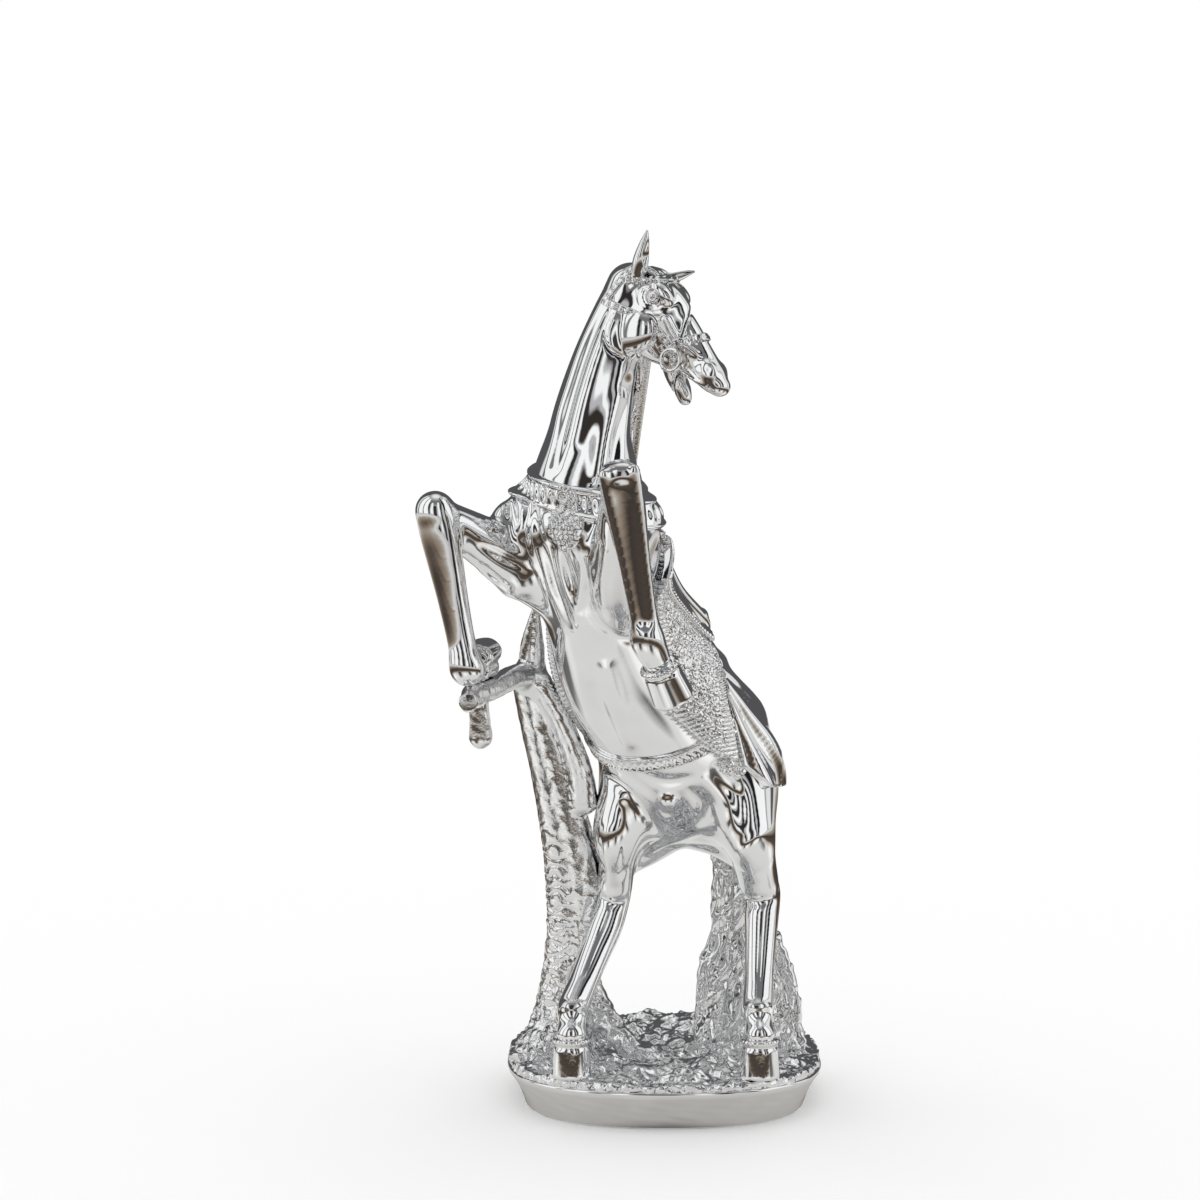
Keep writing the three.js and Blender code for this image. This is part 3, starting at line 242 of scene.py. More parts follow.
def lay(grid, shape, blend=1.0, mode="add"):
    """Adds a shape to a grid's field, or cuts it out, with a rounded join."""
    reach = blend + MARGIN
    low = np.min([part[0] for part in shape], axis=0) - reach
    high = np.max([part[1] for part in shape], axis=0) + reach
    span = grid.span(low, high)
    if span is None:
        return
    first, last = span
    local = np.full(last - first, FAR, np.float32)
    for part_low, part_high, distance in shape:
        inner = grid.span(part_low - reach, part_high + reach)
        if inner is None:
            continue
        start, stop = inner
        block = cut_out(local, start - first, stop - first)
        np.minimum(block, distance(*grid.axes(start, stop)), out=block)
    target = cut_out(grid.field, first, last)
    if mode == "add":
        target[...] = smooth_min(target, local, blend)
    else:
        target[...] = -smooth_min(-target, local, blend)


def sculpt(grid, work):
    for shape, blend, mode in work:
        lay(grid, shape, blend, mode)


def noise(x, y, z, size, seed, waves=7):
    """Smooth uneven values, mostly between -1 and 1, with bumps about one size wide."""
    source = np.random.default_rng(seed)
    total = np.float32(0)
    for _ in range(waves):
        way = unit(source.normal(size=3)) * 2 * math.pi / size * source.uniform(0.55, 1.25)
        phase = source.uniform(0, 2 * math.pi)
        total = total + np.sin(along_way(x, y, z, way) + np.float32(phase))
    return total / np.float32(math.sqrt(waves))


def ridged(x, y, z, size, seed, waves=5):
    """Uneven values with sharp crests, between 0 and 1."""
    return 1 - np.clip(np.abs(noise(x, y, z, size, seed, waves)), 0, 1)


def finer(grid, low, high, size):
    """A finer copy of part of a grid."""
    part = Grid(low, high, size)
    block = grid.field
    for k in range(3):
        index = (part.low[k] + size * np.arange(part.shape[k]) - grid.low[k]) / grid.voxel
        index = np.clip(index, 0, grid.shape[k] - 1.001)
        base = index.astype(int)
        shape = [1, 1, 1]
        shape[k] = -1
        share = (index - base).astype(np.float32).reshape(shape)
        block = np.take(block, base, axis=k) * (1 - share) + np.take(block, base + 1, axis=k) * share
    part.field = block
    return part


def sample(grid, points):
    """The distance at each point, blended between voxels."""
    index = (np.atleast_2d(points) - grid.low) / grid.voxel
    index = np.clip(index, 0, np.array(grid.shape) - 1.001)
    base = index.astype(int)
    share = index - base
    total = np.zeros(len(index))
    for corner in range(8):
        offset = np.array([corner & 1, corner >> 1 & 1, corner >> 2 & 1])
        weight = np.prod(np.where(offset, share, 1 - share), axis=1)
        at = base + offset
        total += weight * grid.field[at[:, 0], at[:, 1], at[:, 2]]
    return total


def outward(grid, point):
    """The direction in which the distance grows."""
    reach = grid.voxel
    steps = np.vstack([np.eye(3), -np.eye(3)]) * reach
    values = sample(grid, point + steps)
    return unit(values[:3] - values[3:] + 1e-9)


def settle(grid, point, rounds=6, share=0.9):
    """The nearest place on the surface."""
    for _ in range(rounds):
        point = point - outward(grid, point) * float(sample(grid, point)[0]) * share
    return point


def edge_distance(outline, u, v):
    """Signed distance in a plane to an outline, below zero inside it."""
    best = np.full(u.shape, UNSEEN, np.float32)
    inside = np.zeros(u.shape, bool)
    for (ax, ay), (bx, by) in zip(outline, outline[1:] + outline[:1]):
        ex, ey = bx - ax, by - ay
        share = np.clip(((u - ax) * ex + (v - ay) * ey) / (ex * ex + ey * ey), 0, 1)
        best = np.minimum(best, (u - ax - share * ex) ** 2 + (v - ay - share * ey) ** 2)
        if ay != by:
            inside ^= ((ay > v) != (by > v)) & (u < (bx - ax) * (v - ay) / (by - ay) + ax)
    return np.where(inside, -1, 1) * np.sqrt(best)


def near_route(route, x, y, z):
    """Distance to a route of points, and how far along it the nearest place lies."""
    best = np.full(x.shape, UNSEEN, np.float32)
    run = np.zeros(x.shape, np.float32)
    start = 0.0
    for a, b in zip(route, route[1:]):
        line = b - a
        length = np.linalg.norm(line)
        line = line / length
        px, py, pz = shifted(x, y, z, a)
        along = np.clip(along_way(px, py, pz, line), 0, length)
        square = (px - along * line[0]) ** 2 + (py - along * line[1]) ** 2 + (pz - along * line[2]) ** 2
        closer = square < best
        best = np.where(closer, square, best)
        run = np.where(closer, start + along, run)
        start += length
    return np.sqrt(best), run


def hill(value, width):
    """A soft rise about zero, one high."""
    return np.exp(-((value / width) ** 2))


def round_max(a, b, blend):
    return -smooth_min(-a, -b, blend)


def box_of(points, pad):
    points = np.array(points, float)
    return points.min(axis=0) - pad, points.max(axis=0) + pad


def frame_box(origin, axes, spans, pad):
    """The upright box round a block that lies along the axes of a frame."""
    corners = [
        origin + sum(axis * reach for axis, reach in zip(axes, reaches))
        for reaches in itertools.product(*spans)
    ]
    return box_of(corners, pad)


# From a field to a piece: the steps that even its mesh
EVEN_IN, EVEN_OUT = 0.5, -0.52


def relax(points, faces, rounds):
    """Evens a surface without shrinking it: a step in, then a slightly larger one out."""
    corners = faces.shape[1]
    edges = np.vstack([faces[:, [k, (k + 1) % corners]] for k in range(corners)])
    edges = np.unique(np.sort(edges, axis=1), axis=0)
    i, j = edges[:, 0], edges[:, 1]
    count = len(points)
    degree = np.maximum(np.bincount(i, minlength=count) + np.bincount(j, minlength=count), 1)
    for step in range(2 * rounds):
        weight = EVEN_IN if step % 2 == 0 else EVEN_OUT
        move = np.empty_like(points)
        for k in range(3):
            total = np.bincount(i, points[j, k], count) + np.bincount(j, points[i, k], count)
            move[:, k] = total / degree - points[:, k]
        points = points + weight * move
    return points


def placed(name, data):
    obj = bpy.data.objects.new(name, data)
    bpy.context.scene.collection.objects.link(obj)
    return obj


def piece(name, points, faces, nodes, slot):
    """An object from points in millimetres, which stands for solids and wears their plating."""
    mesh = bpy.data.meshes.new(name)
    mesh.vertices.add(len(points))
    mesh.vertices.foreach_set("co", (np.asarray(points) * MM).astype(np.float32).ravel())
    mesh.loops.add(faces.size)
    mesh.loops.foreach_set("vertex_index", np.asarray(faces, np.int32).ravel())
    mesh.polygons.add(len(faces))
    mesh.polygons.foreach_set("loop_start", np.arange(0, faces.size, faces.shape[1], dtype=np.int32))
    mesh.update(calc_edges=True)
    mesh.validate()
    mesh.shade_smooth()
    mesh.materials.append(SLOTS[slot])
    obj = placed(name, mesh)
    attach(obj, "root")
    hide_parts(*nodes)


def soften(field, passes):
    """Blends each voxel with its neighbours, so that creases keep an even edge."""
    for _ in range(passes):
        for k in range(3):
            blended = np.moveaxis(field.copy(), k, 0)
            old = np.moveaxis(field, k, 0)
            blended[1:-1] = old[1:-1] * 0.5 + (old[:-2] + old[2:]) * 0.25
            field = np.moveaxis(blended, 0, k)
    return field


def surface(name, grid, nodes, slot, rounds, passes=0):
    """A piece along a grid's zero distance; rounds even its mesh, passes its field."""
    volume = openvdb.FloatGrid(NEAR)
    volume.copyFromArray(np.ascontiguousarray(soften(np.clip(grid.field, -NEAR, NEAR), passes)))
    points, faces = volume.convertToQuads(0.0)
    points = grid.low + points.astype(float) * grid.voxel
    points = relax(points, faces, rounds)
    a, b, c = points[faces[:, 0]], points[faces[:, 1]], points[faces[:, 2]]
    if np.einsum("ij,ij->", a, np.cross(b, c)) < 0:
        faces = faces[:, ::-1]
    piece(name, points, faces.astype(np.int32), nodes, slot)


def sculpted(name, work, node, size, slot, rounds=1, relief=None, band=2):
    """A piece of its own from a list of shapes, with relief on it."""
    low = np.min([part[0] for shape, _, _ in work for part in shape], axis=0) - MARGIN
    high = np.max([part[1] for shape, _, _ in work for part in shape], axis=0) + MARGIN
    grid = Grid(low, high, voxel(size, size * 2))
    sculpt(grid, work)
    if relief:
        near = np.abs(grid.field) < band
        grid.field[near] -= relief(*grid.places(near))
    surface(name, grid, [node], slot, rounds)


# Materials: one plating, sharper on flesh and straps, rougher on bark, rock and fur
def linked_node(tree, kind, sources, values):
    """A node with its inputs set or linked."""
    node = tree.nodes.new(kind)
    for name, value in values.items():
        node.inputs[name].default_value = value
    for name, socket in sources.items():
        tree.links.new(socket, node.inputs[name])
    return node


def new_material(name):
    material = bpy.data.materials.new(name)
    material.use_nodes = True
    return material


def plating(name, tint, rough, grain, grain_size):
    material = new_material(name)
    tree = material.node_tree
    shader = tree.nodes["Principled BSDF"]
    shader.inputs["Metallic"].default_value = 1.0
    place = tree.nodes.new("ShaderNodeNewGeometry").outputs["Position"]
    cloud = linked_node(tree, "ShaderNodeTexNoise", {"Vector": place}, {"Scale": 60, "Detail": 3})
    cloud = cloud.outputs["Fac"]
    limits = {"To Min": rough * 0.6, "To Max": rough * 1.5}
    spread = linked_node(tree, "ShaderNodeMapRange", {"Value": cloud}, limits)
    tree.links.new(spread.outputs["Result"], shader.inputs["Roughness"])
    shade = linked_node(tree, "ShaderNodeValToRGB", {"Fac": cloud}, {})
    for element, position, strength in zip(shade.color_ramp.elements, (0.3, 0.7), (0.95, 1)):
        element.position = position
        element.color = (*[c * strength for c in tint], 1)
    tree.links.new(shade.outputs["Color"], shader.inputs["Base Color"])
    fine = linked_node(tree, "ShaderNodeTexNoise", {"Vector": place}, {"Scale": grain_size, "Detail": 4})
    relief = {"Strength": grain, "Distance": 0.0004}
    bump = linked_node(tree, "ShaderNodeBump", {"Height": fine.outputs["Fac"]}, relief)
    tree.links.new(bump.outputs["Normal"], shader.inputs["Normal"])
    return material


POLISHED, TEXTURED = "polished_plating", "textured_plating"
SLOTS = {
    POLISHED: plating(POLISHED, (0.91, 0.915, 0.92), 0.03, 0.02, 500),
    TEXTURED: plating(TEXTURED, (0.88, 0.885, 0.89), 0.07, 0.22, 1200),
}


# Posture, with the same values as the solids have
BODY_YAW, BODY_PITCH, PELVIS_YAW = math.radians(31), math.radians(58), math.radians(8)
PELVIS = vec(12, -16, 137)
TORSO_LENGTH = 158
HIP_SPREAD, SHOULDER_SPREAD = 18, 19
RIGHT_STIFLE, LEFT_STIFLE = (20, -29, -14), (20, 26, -14)
NECK_LENGTH, NECK_ARCH = 84, 3
HEAD_YAW, HEAD_PITCH = math.radians(60), math.radians(45)
PLINTH_WIDTH, PLINTH_DEPTH, PLINTH_TAPER, PLINTH_SQUARENESS = 137, 146, 7.5, 2.5
GROUND_TOP = 21.5
HOOF_SINK, HOOF_HEIGHT = 1.2, 17
HOOF_TOP_RADIUS, HOOF_BOTTOM_RADIUS = 7.4, 9
RIGHT_STANCE = (-0.292 * PLINTH_WIDTH, -0.39 * PLINTH_DEPTH)
LEFT_STANCE = (0.285 * PLINTH_WIDTH, -0.397 * PLINTH_DEPTH)
RIGHT_CANNON, LEFT_CANNON = vec(17, 26, 38.5), vec(3, 22, 43)


def facing(yaw):
    """The level directions ahead and to the left, turned by yaw from the front to the viewer's left."""
    return vec(-math.sin(yaw), -math.cos(yaw), 0), vec(math.cos(yaw), -math.sin(yaw), 0)


forward, left = facing(BODY_YAW)
spine = forward * math.cos(BODY_PITCH) + UP * math.sin(BODY_PITCH)
belly = forward * math.sin(BODY_PITCH) - UP * math.cos(BODY_PITCH)
pelvis_forward, pelvis_left = facing(PELVIS_YAW)
head_forward, head_left = facing(-HEAD_YAW)
face = head_forward * math.cos(HEAD_PITCH) - UP * math.sin(HEAD_PITCH)
brow = head_forward * math.sin(HEAD_PITCH) + UP * math.cos(HEAD_PITCH)
body_axes = (left, belly, spine)
pelvis_axes = (pelvis_left, pelvis_forward, UP)
head_axes = (head_left, brow, face)


def on_body(share, to_left=0.0, to_belly=0.0):
    return PELVIS + spine * share * TORSO_LENGTH + left * to_left + belly * to_belly


def on_pelvis(ahead, to_left, rise):
    return PELVIS + pelvis_forward * ahead + pelvis_left * to_left + UP * rise


def step(start, ahead, to_left, rise):
    return start + forward * ahead + left * to_left + UP * rise


# Stations of the barrel: share of its length, shift to the left, drop to the belly, half width, half depth
BARREL = [
    (-0.1, 0, -4, 17, 18),
    (0.02, 1, -1, 26, 27),
    (0.14, 1, 0, 33, 32),
    (0.28, -2.5, 1, 32.5, 33),
    (0.44, -8, 4.5, 30, 31),
    (0.6, -8, 7, 26, 28),
    (0.76, -7, 7, 24, 27.5),
    (0.9, -5.5, 5, 21.5, 25),
    (1.0, -4, 3, 17.5, 21),
]

neck_root = on_body(0.98, -4, 0)
poll = neck_root + NECK_LENGTH * vec(0.212, -0.06, 0.975)
neck_side = unit(left + head_left)


def on_neck(share, bow=0.0, to_side=0.0):
    arch = NECK_ARCH * math.sin(math.pi * min(max(share, 0), 1) ** 0.8)
    return lerp(neck_root, poll, share) + forward * bow - ACROSS * arch + neck_side * to_side


def on_head(a, b=0.0, c=0.0):
    """Millimetres along the face from the poll, towards the brow, and to the left."""
    return poll + face * a + brow * b + head_left * c


right_elbow, left_elbow = on_body(0.8, -SHOULDER_SPREAD - 5, 22), on_body(0.82, SHOULDER_SPREAD - 2, 26)
right_knee, left_knee = step(right_elbow, 46, -20, 27), step(left_elbow, 40, 24, 41)
right_fetlock, left_fetlock = step(right_knee, -7, 10, -62), step(left_knee, -12, 5, -62)
right_pastern, left_pastern = step(right_fetlock, -8, -2.5, 0.5), step(left_fetlock, -5, 1, -8)


def foreleg(elbow, knee, fetlock, pastern, front, plate):
    shin = unit(fetlock - knee)
    ahead = unit(front - front.dot(shin) * shin)
    aside = np.cross(shin, ahead)
    upper = [(-0.3, 10, 11), (0, 11, 13.5), (0.5, 9.3, 10.8), (0.88, 7.5, 7.6), (1, 7.4, 7.3)]
    lower = [(0.12, 8.2, 7.6), (0.3, 7.4, 7), (0.55, 6.2, 6.2), (0.84, 5.6, 5.9), (1, 6.9, 7.3)]
    forearm = between(elbow, knee, upper)
    cannon = [(knee - shin * 1.5, 7.8, 7.4), *between(knee, fetlock, lower), (pastern, 5.8, 5.8)]
    tendon = [lerp(knee, fetlock, t) - ahead * 4.6 for t in (0.2, 0.5, 0.85)]
    work = [
        (loft(forearm, left, 18), 6, "add"),
        (loft(cannon, aside, 22), 2, "add"),
        (stroke(tendon, [2.4, 2.2, 2.6]), 1.5, "add"),
        (ball(fetlock - ahead * 4.5, (4, 3.4, 4.4), (aside, ahead, shin)), 2, "add"),
    ]
    if plate:
        for sign in (1, -1):
            rim = [
                lerp(knee, fetlock, t) + ahead * (5.2 - 1.6 * t) + aside * sign * (5.6 - 2.4 * t)
                for t in (-0.06, 0.12, 0.5, 0.9)
            ]
            work.append((stroke(rim, [2.4, 2.3, 1.7, 1.5]), 1.6, "add"))
        depths = [(t, lerp(knee, fetlock, t) + ahead * (9.2 - 2.2 * t)) for t in (0.03, 0.3, 0.6, 0.88)]
        hollow = [(point, 4.4 - 1.6 * t, 2.8) for t, point in depths]
        work.append((loft(hollow, aside, 24), 1.6, "cut"))
        work.append((ball(knee - shin * 10, (14, 14, 2.6), (aside, ahead, shin)), 1.2, "cut"))
    return work


HOOF_FLOOR = GROUND_TOP - HOOF_SINK


def hind_points(stifle, stance, cannon):
    coronet = vec(stance[0], stance[1], HOOF_FLOOR + HOOF_HEIGHT)
    fetlock = coronet + vec(-math.copysign(0.6, stance[0]), 7, 10.5)
    return on_pelvis(*stifle), fetlock + cannon, fetlock, coronet


def hind_leg(sign, knee, stance, cannon, slim):
    stifle, hock, fetlock, coronet = hind_points(knee, stance, cannon)
    limb = [
        (on_pelvis(-2, sign * 15, 20), 15, 20),
        (on_pelvis(7, sign * 20, 6), 15, 21),
        (stifle, 11.5, 15),
        (lerp(stifle, hock, 0.4) + vec(0, 1, 0), 9.4 * slim, 12.5),
        (lerp(stifle, hock, 0.76), 8.6 * slim, 10),
        (hock + vec(0, -1.5, 2), 7.9 * slim, 8.8),
        (lerp(hock, fetlock, 0.2) + vec(0, -0.6, 0), 7.2, 7.6),
        (lerp(hock, fetlock, 0.45), 6.6, 6.6),
        (lerp(hock, fetlock, 0.72), 6.2, 6.2),
        (fetlock, 6.7, 7.4),
        (lerp(coronet, fetlock, 0.5), 5.8, 6),
        (coronet + vec(0, 0, 1), 6.4, 6.6),
    ]
    ham = [
        (on_pelvis(-16, sign * 14, 2), 11, 10),
        (on_pelvis(-8, sign * 16, -20), 11, 10),
        (lerp(stifle, hock, 0.55) + vec(0, 8, 0), 5.4 * slim, 5.4),
    ]
    point = hock + vec(0, 7.6, 3)
    rear = [point - vec(0, 1.5, 5), lerp(hock, fetlock, 0.5) + vec(0, 5.2, 0), fetlock + vec(0, 5, 3)]
    return [
        (loft(limb, ACROSS, 18), 13, "add"),
        (loft(ham, ACROSS), 6, "add"),
        (ball(point, (3.4, 3.6, 6), (ACROSS, BACK, UP)), 3, "add"),
        (stroke([lerp(stifle, hock, 0.55) + vec(0, 9, 2), point + vec(0, 0.5, 2)], [2.6, 2]), 3, "add"),
        (stroke(rear, 2.2), 2, "add"),
        (ball(fetlock + vec(0, 5, -1), (3.6, 3, 4), (ACROSS, BACK, UP)), 2, "add"),
        (stroke([fetlock + vec(sign * s, -5.6, 2.5) for s in (-3, 0, 3)], 1.8), 1.5, "add"),
    ]


def torso():
    rows = [(on_body(s, shift, drop), wide, deep) for s, shift, drop, wide, deep in BARREL]
    work = [(loft(rows, left), 1, "add")]
    for sign in (1, -1):
        work += [
            (ball(on_pelvis(-2, sign * HIP_SPREAD, 0), (15.5, 24, 26), pelvis_axes), 12, "add"),
            (ball(on_body(0.84, sign * SHOULDER_SPREAD - 4, 9), (8, 19, 19), body_axes), 6, "add"),
            (ball(on_body(0.88, sign * 9 - 3, 24), (10, 9, 20), body_axes), 4, "add"),
            (ball(on_body(0.93, sign * 24 - 2, 15), (11, 14, 15), body_axes), 4, "add"),
        ]
    return work


def neck():
    rows = [
        (-0.14, -3, 18, 26), (0.08, -1, 18.5, 24), (0.32, 1.5, 16, 20),
        (0.58, 2, 13.5, 16.5), (0.8, 1, 11.5, 13.5), (1.0, 0, 9, 10.5),
    ]
    stations = [(on_neck(share, bow), wide, deep) for share, bow, wide, deep in rows]
    return [(loft(stations, neck_side), 12, "add")]


def head():
    rows = [
        (0, 0, 7.5, 9), (7, -2, 10.3, 14), (15.5, -1, 10.8, 15.5), (26, -1, 8.8, 14),
        (34.5, 0.2, 7.2, 10.4), (46, 0.8, 6.3, 6.9), (53.5, 0.2, 6.6, 5.8), (57.5, 0.2, 5.2, 4.2),
    ]
    skull = [(on_head(ahead, rise), wide, deep) for ahead, rise, wide, deep in rows]
    opening = math.radians(24)
    jaw_way = face * math.cos(opening) - brow * math.sin(opening)
    jaw_root = on_head(34.5, -7.5)
    rows = [(0, 0, 5.6, 4.4), (6, -0.4, 4.8, 4.3), (12.2, 0.4, 4.5, 3.9), (17, 0, 3.3, 2.7)]
    jaw = [(jaw_root + jaw_way * ahead + brow * rise, wide, deep) for ahead, rise, wide, deep in rows]
    mouth = [(on_head(38.5, -6.6), 8, 0.9), (on_head(45, -7.4), 8, 1.5), (on_head(54, -9.5), 9, 3)]
    work = [(loft(skull, head_left), 3, "add"), (loft(jaw, head_left), 2, "add")]
    work.append((loft(mouth, head_left), 0.8, "cut"))
    # Cheek, brow and nostril balls, then the ridge and groove of the face and the lip
    balls = [
        ((14.4, -8, 6.6), (4.8, 10, 10), 0.8, "add"),
        ((15, 11, 6.8), (3.6, 2.8, 6.4), 2, "add"),
        ((51, 2.8, 4.8), (2.6, 3.4, 4.2), 1.5, "add"),
        ((51.8, 4, 7.2), (1.5, 1.3, 2.6), 0.7, "cut"),
    ]
    strokes = [
        ([(25, 5.5, 9), (34, 3, 8.2), (44, 4.5, 6.6)], [1.1, 1.5, 1.0], 1.5, "add"),
        ([(24, 1.5, 10.4), (33, -1.5, 8.8), (40, -1, 7.6)], [0.9, 1.1, 0.7], 1.2, "cut"),
        ([(38.2, -6.4, 6.6), (47, -4.6, 6.4), (56, -2.6, 5.2)], [1.0, 1.2, 1.0], 0.9, "add"),
    ]
    for sign in (1, -1):
        for (a, b, c), radii, blend, mode in balls:
            work.append((ball(on_head(a, b, sign * c), radii, head_axes), blend, mode))
        for route, radii, blend, mode in strokes:
            work.append((stroke([on_head(a, b, sign * c) for a, b, c in route], radii), blend, mode))
    return work


HORSE = (
    torso()
    + hind_leg(-1, RIGHT_STIFLE, RIGHT_STANCE, RIGHT_CANNON, 0.86)
    + hind_leg(1, LEFT_STIFLE, LEFT_STANCE, LEFT_CANNON, 0.98)
    + neck()
    + foreleg(right_elbow, right_knee, right_fetlock, right_pastern, forward, False)
    + foreleg(left_elbow, left_knee, left_fetlock, left_pastern, -BACK, True)
    + head()
)


# Flesh: one field for the body and a finer one for neck and head, which meet under the collar
body_grid = Grid((-108, -162, 20), (72, 40, 345), voxel(0.7, 1.6))
sculpt(body_grid, HORSE)

collar_centre = on_neck(0.02, -1)
collar_axis = unit(unit(poll - neck_root) + forward * 0.14)
NECK_SPACE = 31


def neck_stump(grid, lift):
    """Distance to the space over the collar's plane and around the neck, below zero inside it."""
    x, y, z = shifted(*grid.whole(), collar_centre)
    over = along_way(x, y, z, collar_axis)
    radius = np.sqrt(np.maximum(x**2 + y**2 + z**2 - over**2, 0))
    return np.maximum(lift - over, radius - NECK_SPACE)


head_grid = Grid((-74, -124, 252), (50, 16, 372), voxel(0.5, 1.1))
sculpt(head_grid, torso() + neck() + head())
EYE_ALONG, EYE_RISE, EYE_LIDS_OUT, EYE_BALL_OUT = 14.95, 8, 8, 9.6


def eye_lids(grid, sign):
    """Rings of lid and fold around an eye, and the dip that its ball lies in."""
    centre = on_head(EYE_ALONG, EYE_RISE, sign * EYE_LIDS_OUT)
    first, last = grid.span(centre - 11, centre + 11)
    a, b, c = in_frame(*grid.axes(first, last), centre, (face, brow, head_left * sign))
    away = np.sqrt((a * 0.92) ** 2 + (b * 1.08) ** 2)
    rings = 0.9 * hill(away - 3.3, 0.6) + 0.6 * hill(away - 5.0, 0.55) + 0.4 * hill(away - 6.6, 0.6)
    dip = 0.8 * np.exp(-(away / 2.6) ** 4)
    block = cut_out(grid.field, first, last)
    block -= (rings - dip) * np.clip((c + 3) / 3, 0, 1)


eye_lids(head_grid, 1)
eye_lids(head_grid, -1)


# Cloths and straps: shells over the flesh, cut to their outlines
CLOTH_THICKNESS, FLAP_THICKNESS = 2.3, 4.6
GIRTH_THICKNESS, COLLAR_THICKNESS = 1.3, 1.8
EDGE_ROUNDING = 0.8


def shell(grid, pattern, under=0.5, reach=6.0):
    """Turns a flesh field into a layer on it; pattern gives its thickness and edge at each place."""
    near = (grid.field > -2) & (grid.field < reach)
    x, y, z = grid.places(near)
    height = grid.field[near]
    thickness, edge = pattern(x, y, z)
    grid.field[...] = FAR
    grid.field[near] = np.maximum(round_max(height - thickness, edge, EDGE_ROUNDING), -under - height)


def body_frame(x, y, z):
    """Along the spine, towards the belly and towards the left, from the pelvis."""
    return in_frame(x, y, z, PELVIS, (spine, belly, left))


BACK_HEIGHT = 45


def side_box(outline, deep):
    """A box round an outline, no further up than the back."""
    corners = [
        PELVIS + spine * u + belly * max(v, -BACK_HEIGHT) + left * w
        for u, v in outline for w in (-deep, deep)
    ]
    return box_of(corners, 6)


# Outlines seen from the side: along the spine from the pelvis, and towards the belly
BLANKET = [
    (130, -70), (128, -9), (110, -3), (106, 9), (92, 17), (66, 26), (48, 22), (33, 17),
    (25, 11), (42, 4), (50, 0), (59, -8), (66, -16), (68, -70),
]
DRAPE = [
    (67, -70), (65.5, -17), (58.5, -9), (49.5, -1), (41.5, 3), (22, 9),
    (10, 6), (0, -4), (-8, -18), (-14, -36), (-16, -70),
]
FLAPS = [(68, -70), (126, -70), (124, -12), (113, 3), (98, -2), (84, -9), (68, -16)]
GIRTH_AT, GIRTH_HALF, COLLAR_HALF = 0.25 * TORSO_LENGTH, 3.25, 6


def fur(x, y, z, size, seed):
    """Short curled tufts."""
    tufts = np.maximum(ridged(x, y, z, size, seed, 6), ridged(x, y, z, size * 0.8, seed + 1, 6))
    return tufts - 0.6 + 0.35 * noise(x, y, z, size * 0.45, seed + 2, 6)


def blanket_pattern(x, y, z):
    u, v, _ = body_frame(x, y, z)
    edge = edge_distance(BLANKET, u, v)
    comb = np.sin(2 * math.pi * (u - 0.5 * v + 0.9 * noise(x, y, z, 12, 3)) / 2.2)
    fringe = np.clip((edge + 9) / 6, 0, 1) * (v > -6)
    relief = (1 - fringe) * 0.85 * fur(x, y, z, 3.4, 4) + fringe * (0.4 * comb + 0.3 * fur(x, y, z, 2.6, 7))
    return CLOTH_THICKNESS + relief, edge + 0.7 * comb * fringe


def drape_pattern(x, y, z):
    u, v, _ = body_frame(x, y, z)
    turn = np.arctan2(v - 26 + 0.45 * u, 66 - u)
    pleat = np.sin(turn * 21 + 0.8)
    rise = np.clip((66 - u) / 40, 0.1, 1)
    return CLOTH_THICKNESS + 1.35 * pleat * rise, edge_distance(DRAPE, u, v) - 0.6 * pleat


def flap_pattern(x, y, z):
    u, v, _ = body_frame(x, y, z)
    edge = edge_distance(FLAPS, u, v)
    rope = 0.55 * hill(edge + 1.6, 0.9) * (1 + 0.5 * np.sin(2 * math.pi * (u + v) / 2.4))
    strap = 0.6 * np.exp(-((v + 22 + 0.3 * (u - 100)) / 2.2) ** 4) * (edge < -4)
    return FLAP_THICKNESS + rope + strap - 0.35 * hill(edge + 3.8, 0.7), edge


def girth_pattern(x, y, z):
    u, v, w = body_frame(x, y, z)
    across = np.abs(u - GIRTH_AT)
    rims = 0.7 * hill(across - 2.5, 0.6)
    turn = np.arctan2(v, w)
    woven = 0.35 * np.sin(turn * 66) * np.cos(2 * math.pi * (u - GIRTH_AT) / 4.4)
    return GIRTH_THICKNESS + rims + woven * (across < 2), across - GIRTH_HALF


CLOTH_VOXEL = voxel(0.45, 1.0)


def cloth(name, node, outline, deep, pattern, slot, rounds, under=0.5, reach=6.0):
    """A cloth over the back, cut to its outline on both sides."""
    grid = finer(body_grid, *side_box(outline, deep), CLOTH_VOXEL)
    shell(grid, pattern, under, reach)
    surface(name, grid, [node], slot, rounds)


def body_strap(name, node, work, box, pattern):
    """A strap round bare flesh, which is sculpted anew without the limbs."""
    grid = Grid(*box, CLOTH_VOXEL)
    sculpt(grid, work)
    shell(grid, pattern)
    surface(name, grid, [node], POLISHED, 1)


def collar_pattern(x, y, z):
    ahead, aside, over = in_frame(x, y, z, collar_centre, (ACROSS, BACK, collar_axis))
    turn = np.arctan2(aside, ahead)
    across = np.abs(over + 1.5)
    beads = 0.5 * np.cos(turn * 44) * hill(across, 2.4)
    return COLLAR_THICKNESS + 0.8 * hill(across - 4.6, 0.7) + beads, across - COLLAR_HALF


cloth("saddle_blanket_fur", "saddle_blanket", BLANKET, 42, blanket_pattern, TEXTURED, 0)
cloth("rump_drape_pleats", "rump_drape", DRAPE, 46, drape_pattern, POLISHED, 4)
cloth("saddle_flap_leather", "saddle_flaps", FLAPS, 42, flap_pattern, POLISHED, 2, -1.5, 8.0)

